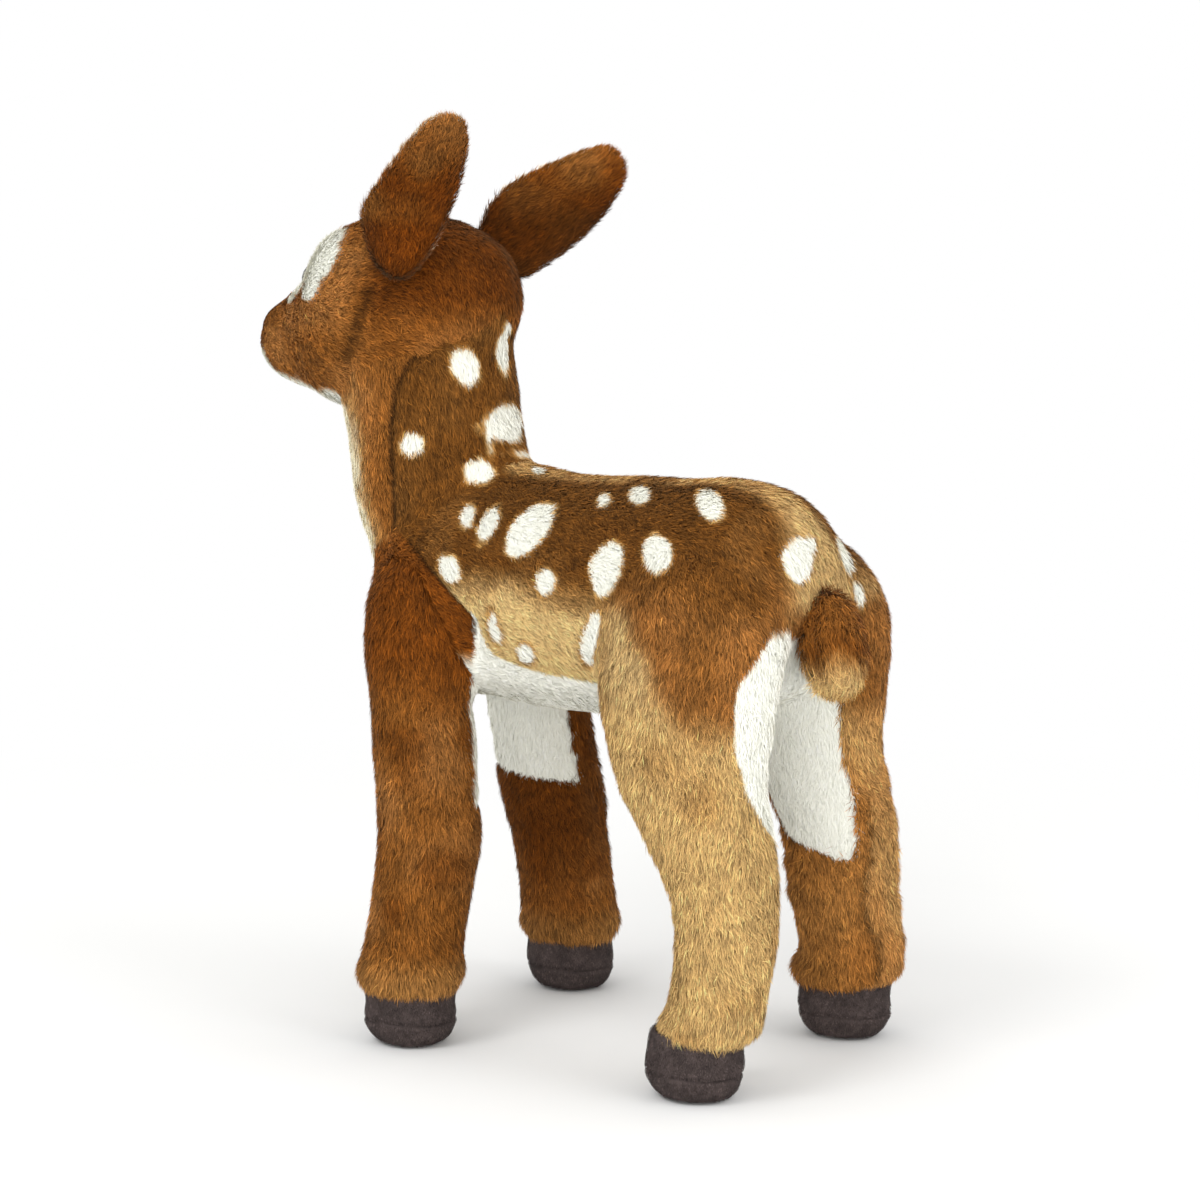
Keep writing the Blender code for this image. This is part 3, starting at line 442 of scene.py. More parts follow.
def haunch(c, p, z):
    """The hind quarters: russet above, tan in front and gold down the leg."""
    y = p[:, 1]
    patches = clouds(p, 0.022, 25, -0.8, 0.3)
    c = mix(c, RUSSET * 0.97, 0.85 * step(*HAUNCH_HEIGHT, z) * patches)
    front = y + 0.006 * noise(p, 0.014, 38) + 0.6 * (p[:, 2] - THIGH_LEVEL)
    c = mix(c, TAN * 0.92, 0.9 * step(*THIGH_FRONT, front) * step(*THIGH_HEIGHT, z))
    return mix(c, GOLD, step(*SHANK_HEIGHT, z + 0.25 * (y - SHANK_START)))


def coat(p):
    """The back's brown, which turns to tan on the flank and to gold on the hind legs."""
    x, y = p[:, 0], p[:, 1]
    z = p[:, 2] + 0.005 * noise(p, 0.024, 21) + 0.003 * noise(p, 0.009, 22)
    c = mix(flat(DARK, p), BROWN, 0.8 * clouds(p, 0.016, 23, 0.1, 0.7))
    # the pale ridge is partly the pile's own pale tips and partly a painted highlight on the top
    ridge = step(*RIDGE_HALF, np.abs(x) + 0.002 * noise(p, 0.012, 42))
    ridge = ridge * (1 - 0.7 * step(*RIDGE_GAP_START, y) * step(*RIDGE_GAP_END, y))
    ridge = ridge * (0.70 + 0.30 * clouds(p, 0.02, 24, -0.3, 0.4))
    c = mix(c, LIGHT * 1.18, 0.95 * step(*RIDGE_HEIGHT, z) * ridge)
    rear = step(*REAR, y)
    c = mix(c, TAN, step(*FLANK_HEIGHT, z) * (1 - rear))
    c = mix(c, haunch(c, p, z), rear)
    aside = np.where(x > 0, x, np.minimum(-x, RUMP_RIGHT_END))
    rump = step(*RUMP_BACK, y + 0.8 * (RUMP_MIDDLE - aside)) * step(*RUMP_HEIGHT, z)
    rump = rump * step(*RUMP_START, y) * clouds(p, 0.02, 26, -0.9, 0.1)
    return mix(c, TAN * 0.97, 0.8 * rump)


def ahead_of(p, seam):
    """How far each point lies in front of a seam that is given as heights and places."""
    return np.interp(p[:, 2], seam[0], seam[1]) - p[:, 1]


def shaded_seam(c, p, seam, wide=SEAM_LINE, depth=SEAM_SHADE):
    """A thin darker line along a seam, which fades at its ends."""
    low, high = seam[0][0], seam[0][-1]
    line = np.exp(-((ahead_of(p, seam) / wide) ** 2))
    line = line * step(low, low + SEAM_END, p[:, 2]) * step(high, high - SEAM_END, p[:, 2])
    return c * (1 - depth * line)[:, None]


# Shoulder: heights where it darkens, and where it clears again down the leg
SHOULDER_DARK = (0.225, 0.200)
SHOULDER_CLEAR = (0.130, 0.175)


def shoulder_colour(p):
    """Russet below the neck, which darkens down to the top of the leg and clears again."""
    c = mottled(p, RUSSET, RUST, 0.024, 12, -0.5, 0.3)
    z = p[:, 2] + 0.008 * noise(p, 0.02, 34)
    return mix(c, DEEP * 1.2, 0.75 * step(*SHOULDER_DARK, z) * step(*SHOULDER_CLEAR, z))


def above_belly(p):
    """Where the flank's colour ends above the white belly."""
    low = np.interp(p[:, 1], *FLANK_EDGE) + 0.0006 * noise(p, 0.005, 37)
    return past(p[:, 2] - low)


def back_colour(p, n):
    c = mix(spotted(coat(p), p), WHITE, (1 - above_belly(p)) * step(*FLANK_END, p[:, 1]))
    c = mix(c, shoulder_colour(p), past(ahead_of(p, SHOULDER)))
    return shaded_seam(c, p, SHOULDER)


# Throat: where it darkens behind, how far it faces ahead where it turns golden and cream, and
# the height below which the nape darkens
THROAT_BACK = (-0.076, -0.062)
THROAT_GOLDEN = (0.15, 0.45)
THROAT_CREAM = (0.42, 0.62)
NAPE_LOW = (0.232, 0.214)


def throat_colour(p, n):
    c = mottled(p, RUSSET * 1.05, RUST * 1.08, 0.02, 28, -0.3, 0.5)
    c = mix(c, RUST, 0.8 * step(*THROAT_BACK, p[:, 1]))
    front = -n[:, 1] + 0.06 * noise(p, 0.012, 8)
    c = mix(c, LIGHT * 1.05, 0.6 * step(*THROAT_GOLDEN, front))
    return mix(c, CREAM, step(*THROAT_CREAM, front))


def nape_coat(p):
    c = mottled(p, DARK, BROWN, 0.02, 27, -0.2, 0.6)
    return mix(c, DARK * 0.92, 0.7 * step(*NAPE_LOW, p[:, 2]))


def neck_colour(p, n):
    c = mix(spotted(nape_coat(p), p), throat_colour(p, n), past(ahead_of(p, COLLAR)))
    return shaded_seam(c, p, COLLAR)


# Head: the dark back of the skull, the bridge of the muzzle, the start of the spotted coat,
# and the half width and depth of the shade in the cheek's fold
SKULL_BACK = (-0.080, -0.056)
SKULL_HEIGHT = (0.300, 0.320)
BRIDGE_HALF = (0.011, 0.007)
BRIDGE_FRONT = (-0.09, -0.11)
NAPE_FRONT = (-0.048, -0.046)
CHEEK_LINE, CHEEK_SHADE = 0.0030, 0.30
# Head: the left eye, its dark rim, and the pale patch as rounded forms: centre, half sizes
EYE_SPOT = np.array((0.0155, -0.1180, 0.3250))
EYE_RIM = (0.0078, 0.0068)
EYE_PATCH = (
    ((0.0220, -0.1060, 0.3360), (0.0130, 0.0150, 0.0130)),
    ((0.0205, -0.1180, 0.3250), (0.0105, 0.0110, 0.0110)),
    ((0.0295, -0.1010, 0.3310), (0.0100, 0.0120, 0.0110)),
    ((0.0325, -0.1050, 0.3215), (0.0070, 0.0085, 0.0085)),
    ((0.0185, -0.1255, 0.3165), (0.0065, 0.0080, 0.0070)),
)
PATCH_EDGE = (-0.02, 0.10)
# Head: white lip and chin, and the stitched mouth with its split up to the nose
LIP_HEIGHT = (0.300, 0.294)
LIP_FRONT = (-0.144, -0.154)
LIP_MIDDLE = 0.003
CHIN_UNDER = (0.66, 0.76)
MOUTH_FRONT = (-0.138, -0.142)
MOUTH_HEIGHT, MOUTH_HALF, MOUTH_CURVE, SPLIT_TOP = 0.2895, 0.010, 4.5, 0.298
STITCH = (0.0012, 0.0006)
STITCH_STOP = 9


def eye_patch(p, q):
    """The pale patch that runs from the brow round the outer side of the eye."""
    wobble = 0.08 * noise(p, 0.004, 10)
    patch = np.full(len(p), OUTSIDE)
    for centre, size in EYE_PATCH:
        gap = np.linalg.norm((q - np.array(centre)) / np.array(size), axis=1)
        patch = np.maximum(patch, 1 - gap + wobble)
    return step(*PATCH_EDGE, patch)


def with_mouth(c, p, n, aside):
    """The white chin and lip, with the stitched mouth over them."""
    z = p[:, 2]
    lip = step(*LIP_HEIGHT, z + 0.35 * np.maximum(aside - LIP_MIDDLE, 0))
    under = -n[:, 2] + 0.05 * noise(p, 0.005, 29) + 0.9 * step(*LIP_FRONT, p[:, 1]) * lip
    c = mix(c, WHITE, step(*CHIN_UNDER, under))
    smile = np.abs(z - MOUTH_HEIGHT + MOUTH_CURVE * aside**1.5)
    smile = smile + STITCH_STOP * np.maximum(aside - MOUTH_HALF, 0)
    outside = np.maximum(z - SPLIT_TOP, 0) + np.maximum(MOUTH_HEIGHT - z, 0)
    split = aside + STITCH_STOP * outside
    stitch = step(*STITCH, np.minimum(smile, split)) * step(*MOUTH_FRONT, p[:, 1])
    return mix(c, DEEP * 0.4, 0.9 * stitch)


def head_colour(p, n):
    q = mirrored(p)
    c = mottled(p, RUSSET * 1.08, RUST * 1.08, 0.018, 9, -0.4, 0.4)
    back = step(*SKULL_BACK, p[:, 1] + 0.006 * noise(p, 0.014, 40))
    c = mix(c, DEEP, back * (0.25 + 0.65 * step(*SKULL_HEIGHT, p[:, 2])))
    bridge = step(*BRIDGE_HALF, q[:, 0]) * step(*BRIDGE_FRONT, p[:, 1])
    c = mix(c, RUST * 0.85, 0.8 * bridge)
    side = np.abs(n[:, 0]) > 0.35
    crease = p + 0.0025 * noise(p, 0.008, 41)[:, None]
    folded = shaded_seam(c, crease, CHEEK_FOLD, CHEEK_LINE, CHEEK_SHADE)
    c = np.where(side[:, None], folded, c)
    # the spotted coat climbs a little way up the back of the head
    nape = past(np.interp(q[:, 0], *NAPE_TOP) - p[:, 2]) * step(*NAPE_FRONT, p[:, 1])
    c = mix(c, spotted(nape_coat(p), p), nape)
    c = mix(c, WHITE, eye_patch(p, q))
    rim = np.linalg.norm(q - EYE_SPOT, axis=1)
    c = mix(c, DEEP * 0.5, step(*EYE_RIM, rim))
    return with_mouth(c, p, n, q[:, 0])


# Front legs: heights where the right one is painted darker as shade, and where the pile pales
# over the hoof, and how far inward a side faces where it is painted darker as shade
RIGHT_LEG_SHADE = (0.045, 0.080)
PALE_HEM = (0.045, 0.028)
INWARD_SHADE_FACING = (0.2, 0.7)
# Hind legs: heights of mottling, of the right leg's russet and of the back seam's end, how far
# inward that seam faces, where the white strip ends above, and how far back it faces
MOTTLE_TOP = (0.16, 0.13)
RIGHT_LEG_TOP = (0.165, 0.13)
BACK_SEAM_TOP = (0.115, 0.105)
BACK_SEAM_FACING = 0.50
STRIP_TOP = (0.190, 0.186)
STRIP_FACING = (0.25, 0.40)


def front_leg_colour(p, n):
    c = shoulder_colour(p) * 0.95
    c = mix(c, DEEP, 0.45 * clouds(p, 0.018, 30, 0.15, 0.8))
    # painted shade: the right leg, which stands in shade, is darkened above the hoof
    c = mix(c, DEEP * 0.85, 0.65 * on_right(p) * step(*RIGHT_LEG_SHADE, p[:, 2]))
    # painted shade: the sides that face the other leg are darkened
    c = mix(c, DEEP, 0.5 * step(*INWARD_SHADE_FACING, inward(p, n)))
    return mix(c, TAN, 0.25 * step(*PALE_HEM, p[:, 2]))


def white_strip(p, n):
    """The white strip down the back of the left hind leg."""
    x, z = p[:, 0], p[:, 2]
    foot = np.interp(x, *STRIP_FOOT) + 0.0012 * noise(p, 0.006, 35)
    edge = np.interp(z, *STRIP_EDGE) + 0.0006 * noise(p, 0.005, 36)
    strip = past(edge - x, 0.0005) * step(*STRIP_FACING, n[:, 1])
    return strip * past(z - foot, 0.001) * on_left(p) * step(*STRIP_TOP, z)


def hind_leg_colour(p, n):
    c = coat(p)
    mottle = clouds(p, 0.019, 15, 0.05, 0.8)
    c = mix(c, BROWN * 1.15, 0.30 * mottle * step(*MOTTLE_TOP, p[:, 2]))
    # the right leg is browner, most of all on its inner side
    right = on_right(p)
    patches = 0.45 + 0.55 * clouds(p, 0.026, 39, -0.4, 0.5)
    c = mix(c, RUSSET * 1.05, 0.8 * right * patches * step(*RIGHT_LEG_TOP, p[:, 2]))
    inner = inward(p, n) - BACK_SEAM_FACING
    lower = step(*BACK_SEAM_TOP, p[:, 2])
    c = mix(c, RUST * 1.04, 0.6 * step(-0.04, 0.04, inner) * right * lower)
    # painted shade: a darker band along the seam down the back of each leg
    seam = lower * (n[:, 1] > 0) * np.exp(-((inner / 0.06) ** 2))
    c = c * (1 - 0.35 * seam)[:, None]
    return mix(spotted(c, p), WHITE, white_strip(p, n))


def white_colour(p, n):
    return flat(WHITE, p)


# Belly: where its cream chest begins, where the flank's colours reach over its edge, and
# where the shoulder's colour does
CHEST_START = (-0.055, -0.07)
CHEST_HEIGHT = (0.15, 0.19)
FLANK_START = (-0.012, -0.010)
ARMPIT_HEIGHT = (0.16, 0.17)
ARMPIT_FACING = (0.55, 0.75)


def belly_colour(p, n):
    """White below, with the flank's tan down to the photograph's edge, and a cream chest."""
    y, z = p[:, 1], p[:, 2]
    c = mix(flat(WHITE, p), CREAM, step(*CHEST_START, y) * step(*CHEST_HEIGHT, z))
    side = above_belly(p) * step(*FLANK_START, y) * step(*FLANK_END, y)
    c = mix(c, spotted(coat(p), p), side)
    armpit = step(*ARMPIT_HEIGHT, z) * step(*ARMPIT_FACING, np.abs(n[:, 0]))
    return mix(c, shoulder_colour(p), armpit * past(ahead_of(p, SHOULDER)))


# Ears and tail: heights where they change, and how far the lining's brown reaches from a hinge
EAR_TIP = (0.362, 0.392)
RIGHT_EAR_BASE = (0.374, 0.345)
LINING_LOW = (0.372, 0.345)
LINING_BROWN = (0.022, 0.015)
TAIL_TIP = (0.182, 0.165)


def ear_colour(p, n):
    c = mottled(p, RUST * 0.86, DEEP * 1.12, 0.016, 16, -0.4, 0.5)
    c = mix(c, RUSSET * 0.96, 0.8 * step(*EAR_TIP, p[:, 2]))
    return mix(c, DEEP * 0.72, 0.75 * on_right(p) * step(*RIGHT_EAR_BASE, p[:, 2]))


def lining_colour(p, n):
    c = mix(flat(LINING, p), LINING_PINK, 0.6 * step(*LINING_LOW, p[:, 2]))
    gaps = [np.linalg.norm(p - HINGES[ear], axis=1) for ear in ("left_ear", "right_ear")]
    gap = np.minimum(*gaps) + 0.001 * noise(p, 0.004, 44)
    return mix(c, RUST * 0.9, step(*LINING_BROWN, gap))


def tail_colour(p, n):
    c = mottled(p, RUST, DEEP * 1.1, 0.014, 17, -0.3, 0.5)
    return mix(c, TAN, 0.85 * step(*TAIL_TIP, p[:, 2] + 0.004 * noise(p, 0.008, 43)))


def suede_colour(p, n):
    tone = 1 + 0.12 * noise(p, 0.005, 18) + 0.12 * noise(p, 0.0014, 19)
    return flat(SUEDE_TONE, p) * tone[:, None]


# Looks by kind of panel: colour, length of the pile, lift of a blade in radians, and tone of
# its root, as a share of its colour
Look = namedtuple("Look", "colour length lift root")
LOOKS = {
    "back_panel": Look(back_colour, 0.0060, 0.66, 0.60),
    "nape_panel": Look(neck_colour, 0.0060, 0.66, 0.60),
    "throat_panel": Look(throat_colour, 0.0062, 0.66, 0.60),
    "cheek_panel": Look(head_colour, 0.0056, 0.66, 0.60),
    "head_gusset": Look(head_colour, 0.0048, 0.62, 0.60),
    "chin_panel": Look(head_colour, 0.0052, 0.62, 0.60),
    "belly_panel": Look(belly_colour, 0.0044, 0.48, 0.60),
    "inner_panel": Look(white_colour, 0.0048, 0.50, 0.90),
    "front_leg": Look(front_leg_colour, 0.0064, 0.66, 0.60),
    "hind_leg": Look(hind_leg_colour, 0.0064, 0.66, 0.64),
    "ear_back": Look(ear_colour, 0.0050, 0.60, 0.60),
    "ear_lining": Look(lining_colour, 0.0036, 0.45, 0.80),
    "tail_top": Look(tail_colour, 0.0078, 0.78, 0.60),
    "tail_underside": Look(white_colour, 0.0050, 0.55, 0.90),
    "hoof": Look(suede_colour, 0.0012, 0.90, 0.80),
}


def kind_of(node):
    """Which kind of panel a node is."""
    if "hoof" in node:
        return "hoof"
    if "leg_outer" in node:
        return "front_leg" if node.startswith("front") else "hind_leg"
    return next(kind for kind in LOOKS if node.endswith(kind))


# Direction from root to tip of each ear and tail panel, filled in when they are dressed
AXES = {}

# Where the lie of the pile turns: over the rump, up the chest, down the skull and the thigh
RUMP_TURN = (0.095, 0.135)
CHEST_TURN = (-0.045, -0.075)
BELLY_END_TURN = (0.105, 0.13)
SKULL_TURN = (-0.06, -0.03)
FACE_TURN = (0.33, 0.30)
THIGH_TURN = (0.175, 0.205)


def flow_of(node, p):
    """The way that the pile lies, with swirls and strays."""
    side = np.sign(p[:, 0])
    kind = kind_of(node)
    y, z = p[:, 1], p[:, 2]
    flow = np.zeros_like(p)
    if kind == "back_panel":
        turn = step(*RUMP_TURN, y)
        flow[:, 1] = 1 - 0.75 * turn
        flow[:, 2] = -0.45 - 0.65 * turn
    elif kind == "belly_panel":
        turn = np.maximum(step(*CHEST_TURN, y), step(*BELLY_END_TURN, y))
        flow[:, 1] = 1 - 0.8 * turn
        flow[:, 2] = -0.15 - turn
    elif kind in ("nape_panel", "throat_panel"):
        flow[:] = (0, 0.30, -1)
    elif kind in ("cheek_panel", "head_gusset", "chin_panel"):
        down = step(*SKULL_TURN, y)
        flow[:, 0] = 0.15 * side
        flow[:, 1] = 1 - 0.6 * down
        flow[:, 2] = 0.05 - 0.9 * down - 0.35 * step(*FACE_TURN, z)
    elif kind == "hind_leg":
        flow[:, 0] = 0.10 * side
        flow[:, 1] = 0.10 + 0.6 * step(*THIGH_TURN, z)
        flow[:, 2] = -1
    elif kind in ("front_leg", "inner_panel"):
        flow[:, 0] = 0.12 * side
        flow[:, 1:] = (0.10, -1)
    elif kind == "hoof":
        flow[:] = (0, 0.2, -1)
    else:
        flow[:] = AXES[node]
    swirl = np.stack([noise(p, 0.016, 31 + k) for k in range(3)], axis=1)
    fine = np.stack([noise(p, 0.0042, 41 + k) for k in range(3)], axis=1)
    stray = RNG.standard_normal(p.shape)
    return unit(flow) + 0.26 * swirl + 0.30 * fine + 0.30 * stray


def scattered(points, tris, normals, density):
    """Random places on a skin, and the skin's direction there."""
    a, b, c = (points[tris[:, k]] for k in range(3))
    area = np.linalg.norm(np.cross(b - a, c - a), axis=1) / 2
    count = np.floor(area * density + RNG.random(len(area))).astype(int)
    which = np.repeat(np.arange(len(tris)), count)
    r1 = np.sqrt(RNG.random(len(which)))
    r2 = RNG.random(len(which))
    w = np.stack([1 - r1, r1 * (1 - r2), r1 * r2], axis=1)[:, :, None]
    corners = tris[which]
    return (points[corners] * w).sum(axis=1), unit((normals[corners] * w).sum(axis=1))


# Free rim of each of the map's six parts, as a share of the part
MAP_RIM = 0.03


def six_sides(points, facing):
    """A place in a map of six parts, by the side that each blade faces."""
    low, high = points.min(0), points.max(0)
    axis = np.argmax(np.abs(facing), axis=1)
    ahead = np.take_along_axis(facing, axis[:, None], axis=1)[:, 0] > 0
    tile = np.repeat(axis * 2 + ahead, len(points) // len(facing))
    q = np.clip((points - low) / (high - low), 0, 1)
    first = np.where(tile // 2 == 0, q[:, 1], q[:, 0])
    second = np.where(tile // 2 == 2, q[:, 1], q[:, 2])
    u = (tile % 3 + MAP_RIM + (1 - 2 * MAP_RIM) * first) / 3
    v = (tile // 3 + MAP_RIM + (1 - 2 * MAP_RIM) * second) / 2
    return np.stack([u, v], axis=1)


def fill_mesh(name, points, normals, colours, loops, total, uv):
    """A mesh of triangles from arrays."""
    starts = np.arange(total, dtype=np.int32) * 3
    mesh = bpy.data.meshes.new(name)
    mesh.vertices.add(len(points))
    mesh.vertices.foreach_set("co", points.astype(np.float32).ravel())
    mesh.loops.add(len(loops))
    mesh.loops.foreach_set("vertex_index", loops.astype(np.int32))
    mesh.polygons.add(total)
    mesh.polygons.foreach_set("loop_start", starts)
    mesh.polygons.foreach_set("loop_total", np.full(total, 3, np.int32))
    mesh.update(calc_edges=True)
    attribute = mesh.attributes.new("pile_colour", "FLOAT_COLOR", "POINT")
    rgba = np.ones((len(points), 4), np.float32)
    rgba[:, :3] = colours
    attribute.data.foreach_set("color", rgba.ravel())
    layer = mesh.uv_layers.new(name="OFBake")
    layer.data.foreach_set("uv", uv[loops].astype(np.float32).ravel())
    mesh.polygons.foreach_set("use_smooth", np.ones(total, bool))
    mesh.normals_split_custom_set_from_vertices(normals.astype(np.float32).tolist())
    mesh.update()
    return mesh


# A blade: its part below the knee, how flat its tip lies, and its least and added length,
# lift and width
KNEE_SHARE, TIP_LIFT_SHARE = 0.48, 0.25
LENGTH_SHARES = (0.72, 0.45)
LIFT_SHARES = (0.65, 0.70)
WIDTH_SHARES = (0.75, 0.50)
ROLL = 1.2
# Tone of a blade's root in light and in white pile, and of its tip
LIGHT_FADE = (120, 230)
LIGHT_ROOT, WHITE_ROOT, TIP_TONE, WHITE_TIP_LOSS = 0.85, 0.97, 1.30, 0.28
# Light passes through white pile, so on undersides its normals are turned up
UNDERSIDE = (0.1, -0.6)
TURNED_UP = 0.55


def uneven(shares, count):
    """A random factor for each blade: its least value, and how much more it may be."""
    return shares[0] + shares[1] * RNG.random(count)


def blade_colours(colour, places, root):
    """Colours of a blade's root, two knee points and tip, uneven from blade to blade."""
    light = step(*LIGHT_FADE, colour.mean(axis=1))
    pale = paleness(colour)
    shade = 0.06 * noise(places, 0.008, 51) + 0.17 * noise(places, 0.0019, 52)
    shade = shade + 0.19 * RNG.standard_normal(len(places))
    shade = 1 + shade * (1 - 0.7 * light) * (1 - 0.75 * pale)
    colour = linear(np.minimum(colour * shade[:, None], BRIGHTEST))
    dim = root + (LIGHT_ROOT - root) * light
    dim = dim + (WHITE_ROOT - dim) * pale
    knee = (1 + dim) / 2
    tones = np.stack([dim, knee, knee, TIP_TONE - WHITE_TIP_LOSS * pale], axis=1)
    return np.clip(colour[:, None, :] * tones[:, :, None], 0, WHITE_ROOT).reshape(-1, 3)


def pile_mesh(name, node, places, facing, scale, width=BLADE_WIDTH):
    """The pile of one panel: bent pointed blades of four points and two faces each."""
    look = LOOKS[kind_of(node)]
    count = len(places)
    flow = flow_of(node, places)
    along = unit(flow - facing * np.sum(flow * facing, axis=1)[:, None])
    size = (look.length * scale * uneven(LENGTH_SHARES, count))[:, None]
    lift = (look.lift * uneven(LIFT_SHARES, count))[:, None]
    first = along * np.cos(lift) + facing * np.sin(lift)
    second = along * np.cos(lift * TIP_LIFT_SHARE) + facing * np.sin(lift * TIP_LIFT_SHARE)
    roll = ((RNG.random(count) - 0.5) * ROLL)[:, None]
    across = unit(np.cross(facing, along)) * np.cos(roll) + facing * np.sin(roll)
    half = (width * uneven(WIDTH_SHARES, count))[:, None] * across / 2
    knee = places + first * size * KNEE_SHARE
    tip = knee + second * size * (1 - KNEE_SHARE)
    points = np.stack([places, knee + half, knee - half, tip], axis=1).reshape(-1, 3)
    top = np.cross(second, across)
    top = top * np.sign(np.sum(top * facing, axis=1))[:, None]
    colour = look.colour(places + along * size * 0.5 + facing * 0.002, facing)
    normals = facing * 0.85 + unit(top) * 0.40
    normals[:, 2] += TURNED_UP * paleness(colour) * step(*UNDERSIDE, facing[:, 2])
    normals = np.repeat(unit(normals), 4, axis=0)
    colours = blade_colours(colour, places, look.root)
    loops = (np.arange(count)[:, None] * 4 + np.array((0, 2, 1, 2, 3, 1))).ravel()
    uv = six_sides(points, facing)
    return fill_mesh(name, points, normals, colours, loops, 2 * count, uv)


def skin_mesh(name, points, tris, normals, colours):
    """The woven backing under the pile, with a map cell for each triangle."""
    side = math.ceil(math.sqrt(len(tris)))
    order = np.arange(len(tris))
    cell = np.stack([order % side, order // side], axis=1)[:, None, :]
    inside = np.array(((0.15, 0.15), (0.85, 0.15), (0.15, 0.85)))
    uv = ((cell + inside[None]) / side).reshape(-1, 2)
    loops = np.arange(3 * len(tris))
    corner = tris.ravel()
    return fill_mesh(
        name, points[corner], normals[corner], colours[corner], loops, len(tris), uv
    )


def node_material(name, roughness, specular=0.5):
    """A Principled material with its node tree."""
    material = bpy.data.materials.new(name)
    material.use_nodes = True
    tree = material.node_tree
    shader = tree.nodes["Principled BSDF"]
    shader.inputs["Roughness"].default_value = roughness
    shader.inputs["Specular IOR Level"].default_value = specular
    return material, tree, shader


def add_node(tree, kind, **values):
    """A shader node, and values for its inputs, with _ for a space in an input's name."""
    node = tree.nodes.new("ShaderNode" + kind)
    for name, value in values.items():
        node.inputs[name.replace("_", " ")].default_value = value
    return node


def wire(tree, *links):
    """Links, each given as a node, its output, the next node and its input."""
    for source, output, target, entry in links:
        tree.links.new(source.outputs[output], target.inputs[entry])


def pile_material(name, roughness, specular, speckle):
    """Colour from the blades, with a fine uneven tone."""
    material, tree, shader = node_material(name, roughness, specular)
    colour = add_node(tree, "Attribute")
    colour.attribute_name = "pile_colour"
    grain = add_node(tree, "TexNoise", Scale=900.0)
    spread = add_node(tree, "MapRange", To_Min=1 - speckle, To_Max=1 + speckle)
    scale = add_node(tree, "VectorMath")
    scale.operation = "SCALE"
    wire(
        tree,
        (add_node(tree, "TexCoord"), "Object", grain, "Vector"),
        (grain, "Fac", spread, "Value"),
        (colour, "Color", scale, 0),
        (spread, "Result", scale, "Scale"),
        (scale, "Vector", shader, "Base Color"),
    )
    return material


def plastic_material(name, deep, light, roughness, specular=0.5, bump=0.0, scale=400.0):
    """Plastic with a slightly uneven colour and surface."""
    material, tree, shader = node_material(name, roughness, specular)
    grain = add_node(tree, "TexNoise", Scale=scale)
    ramp = add_node(tree, "ValToRGB")
    for end, colour in zip(ramp.color_ramp.elements, (deep, light)):
        end.color = (*colour, 1)
    wire(
        tree,
        (add_node(tree, "TexCoord"), "Object", grain, "Vector"),
        (grain, "Fac", ramp, "Fac"),
        (ramp, "Color", shader, "Base Color"),
    )
    if bump:
        relief = add_node(tree, "Bump", Strength=bump, Distance=0.0004)
        wire(tree, (grain, "Fac", relief, "Height"), (relief, "Normal", shader, "Normal"))
    return material


PILE = pile_material("pile_fibres", 0.85, 0.06, 0.06)
sheen = PILE.node_tree.nodes["Principled BSDF"].inputs
sheen["Sheen Weight"].default_value = 0.12
sheen["Sheen Roughness"].default_value = 0.45
sheen["Sheen Tint"].default_value = (1.0, 0.74, 0.42, 1)
SUEDE = pile_material("suede_nap", 0.90, 0.15, 0.10)
SKIN = pile_material("woven_backing", 0.95, 0.05, 0.10)

# Tone of the backing, as a share of the tone of a blade's root
BACKING_SHARE = 0.95


def grow(label, body, panels, points, tris, normals, owners, density, scale_at):
    """Backing and pile over a finished skin, one piece of pile for each panel."""
    colours = np.zeros_like(points)
    for node in panels:
        mine = np.unique(tris[owners == node])
        if len(mine):
            look = LOOKS[kind_of(node)]
            made = look.colour(points[mine], normals[mine])
            tone = look.root * BACKING_SHARE
            tone = tone + (WHITE_ROOT - tone) * paleness(made)
            colours[mine] = linear(made) * tone[:, None]
    skin = add_object(label + "_skin", skin_mesh(label + "_skin", points, tris, normals, colours))
    skin.data.materials.append(SKIN)
    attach(skin, body)
    for node in panels:
        places, facing = scattered(points, tris[owners == node], normals, density)
        if not len(places):
            continue
        scale, keep = scale_at(node, places)
        places, facing, scale = places[keep], facing[keep], scale[keep]
        parts = 1 + len(places) // MOST_BLADES
        cuts = np.quantile(places[:, 2], np.linspace(0, 1, parts + 1))
        for k in range(parts):
            mine = (places[:, 2] >= cuts[k]) & (places[:, 2] <= cuts[k + 1])
            name = node + "_pile" + ("_%d" % k if k else "")
            mesh = pile_mesh(name, node, places[mine], facing[mine], scale[mine])
            pile = add_object(name, mesh)
            pile.data.materials.append(PILE)
            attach(pile, body)
            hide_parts(node)
    return skin


# Stuffed-out places: centre, reach, how far the skin moves, in millimetres. Those with their
# centre on the left stand for both sides
BULGES = (
    ((20, -107, 339), 16, 3.4),
    ((9, -148, 303), 8, 1.8),
    ((34, -92, 300), 20, 2.0),
    ((16, -104, 274), 20, 3.6),
    ((8, -138, 284), 13, 1.8),
    ((0, -18, 244), 17, 5.5),
    ((44, 96, 205), 34, 2.0),
    ((30, 128, 190), 24, 3.0),
    ((66, 88, 128), 18, 1.0),
    ((56, -46, 190), 22, 1.6),
    ((0, -84, 205), 24, 1.5),
    ((20, 104, 236), 26, 2.6),
    ((-46, 130, 184), 30, 3.2),
)
# Legs that sway along a slanted level line: height, reach, shift, and whether the far side of
# the leg along that line stays where it is
SLANT = np.array((-0.574, 0.819, 0.0))
SWAYS = (
    ("hind_right", 0.068, 0.030, -0.0080, False),
    ("hind_right", 0.078, 0.030, -0.0065, True),
    ("hind_left", 0.104, 0.020, -0.0040, True),
    ("hind_left", 0.026, 0.020, 0.0060, True),
    ("front_right", 0.100, 0.036, -0.0060, False),
)
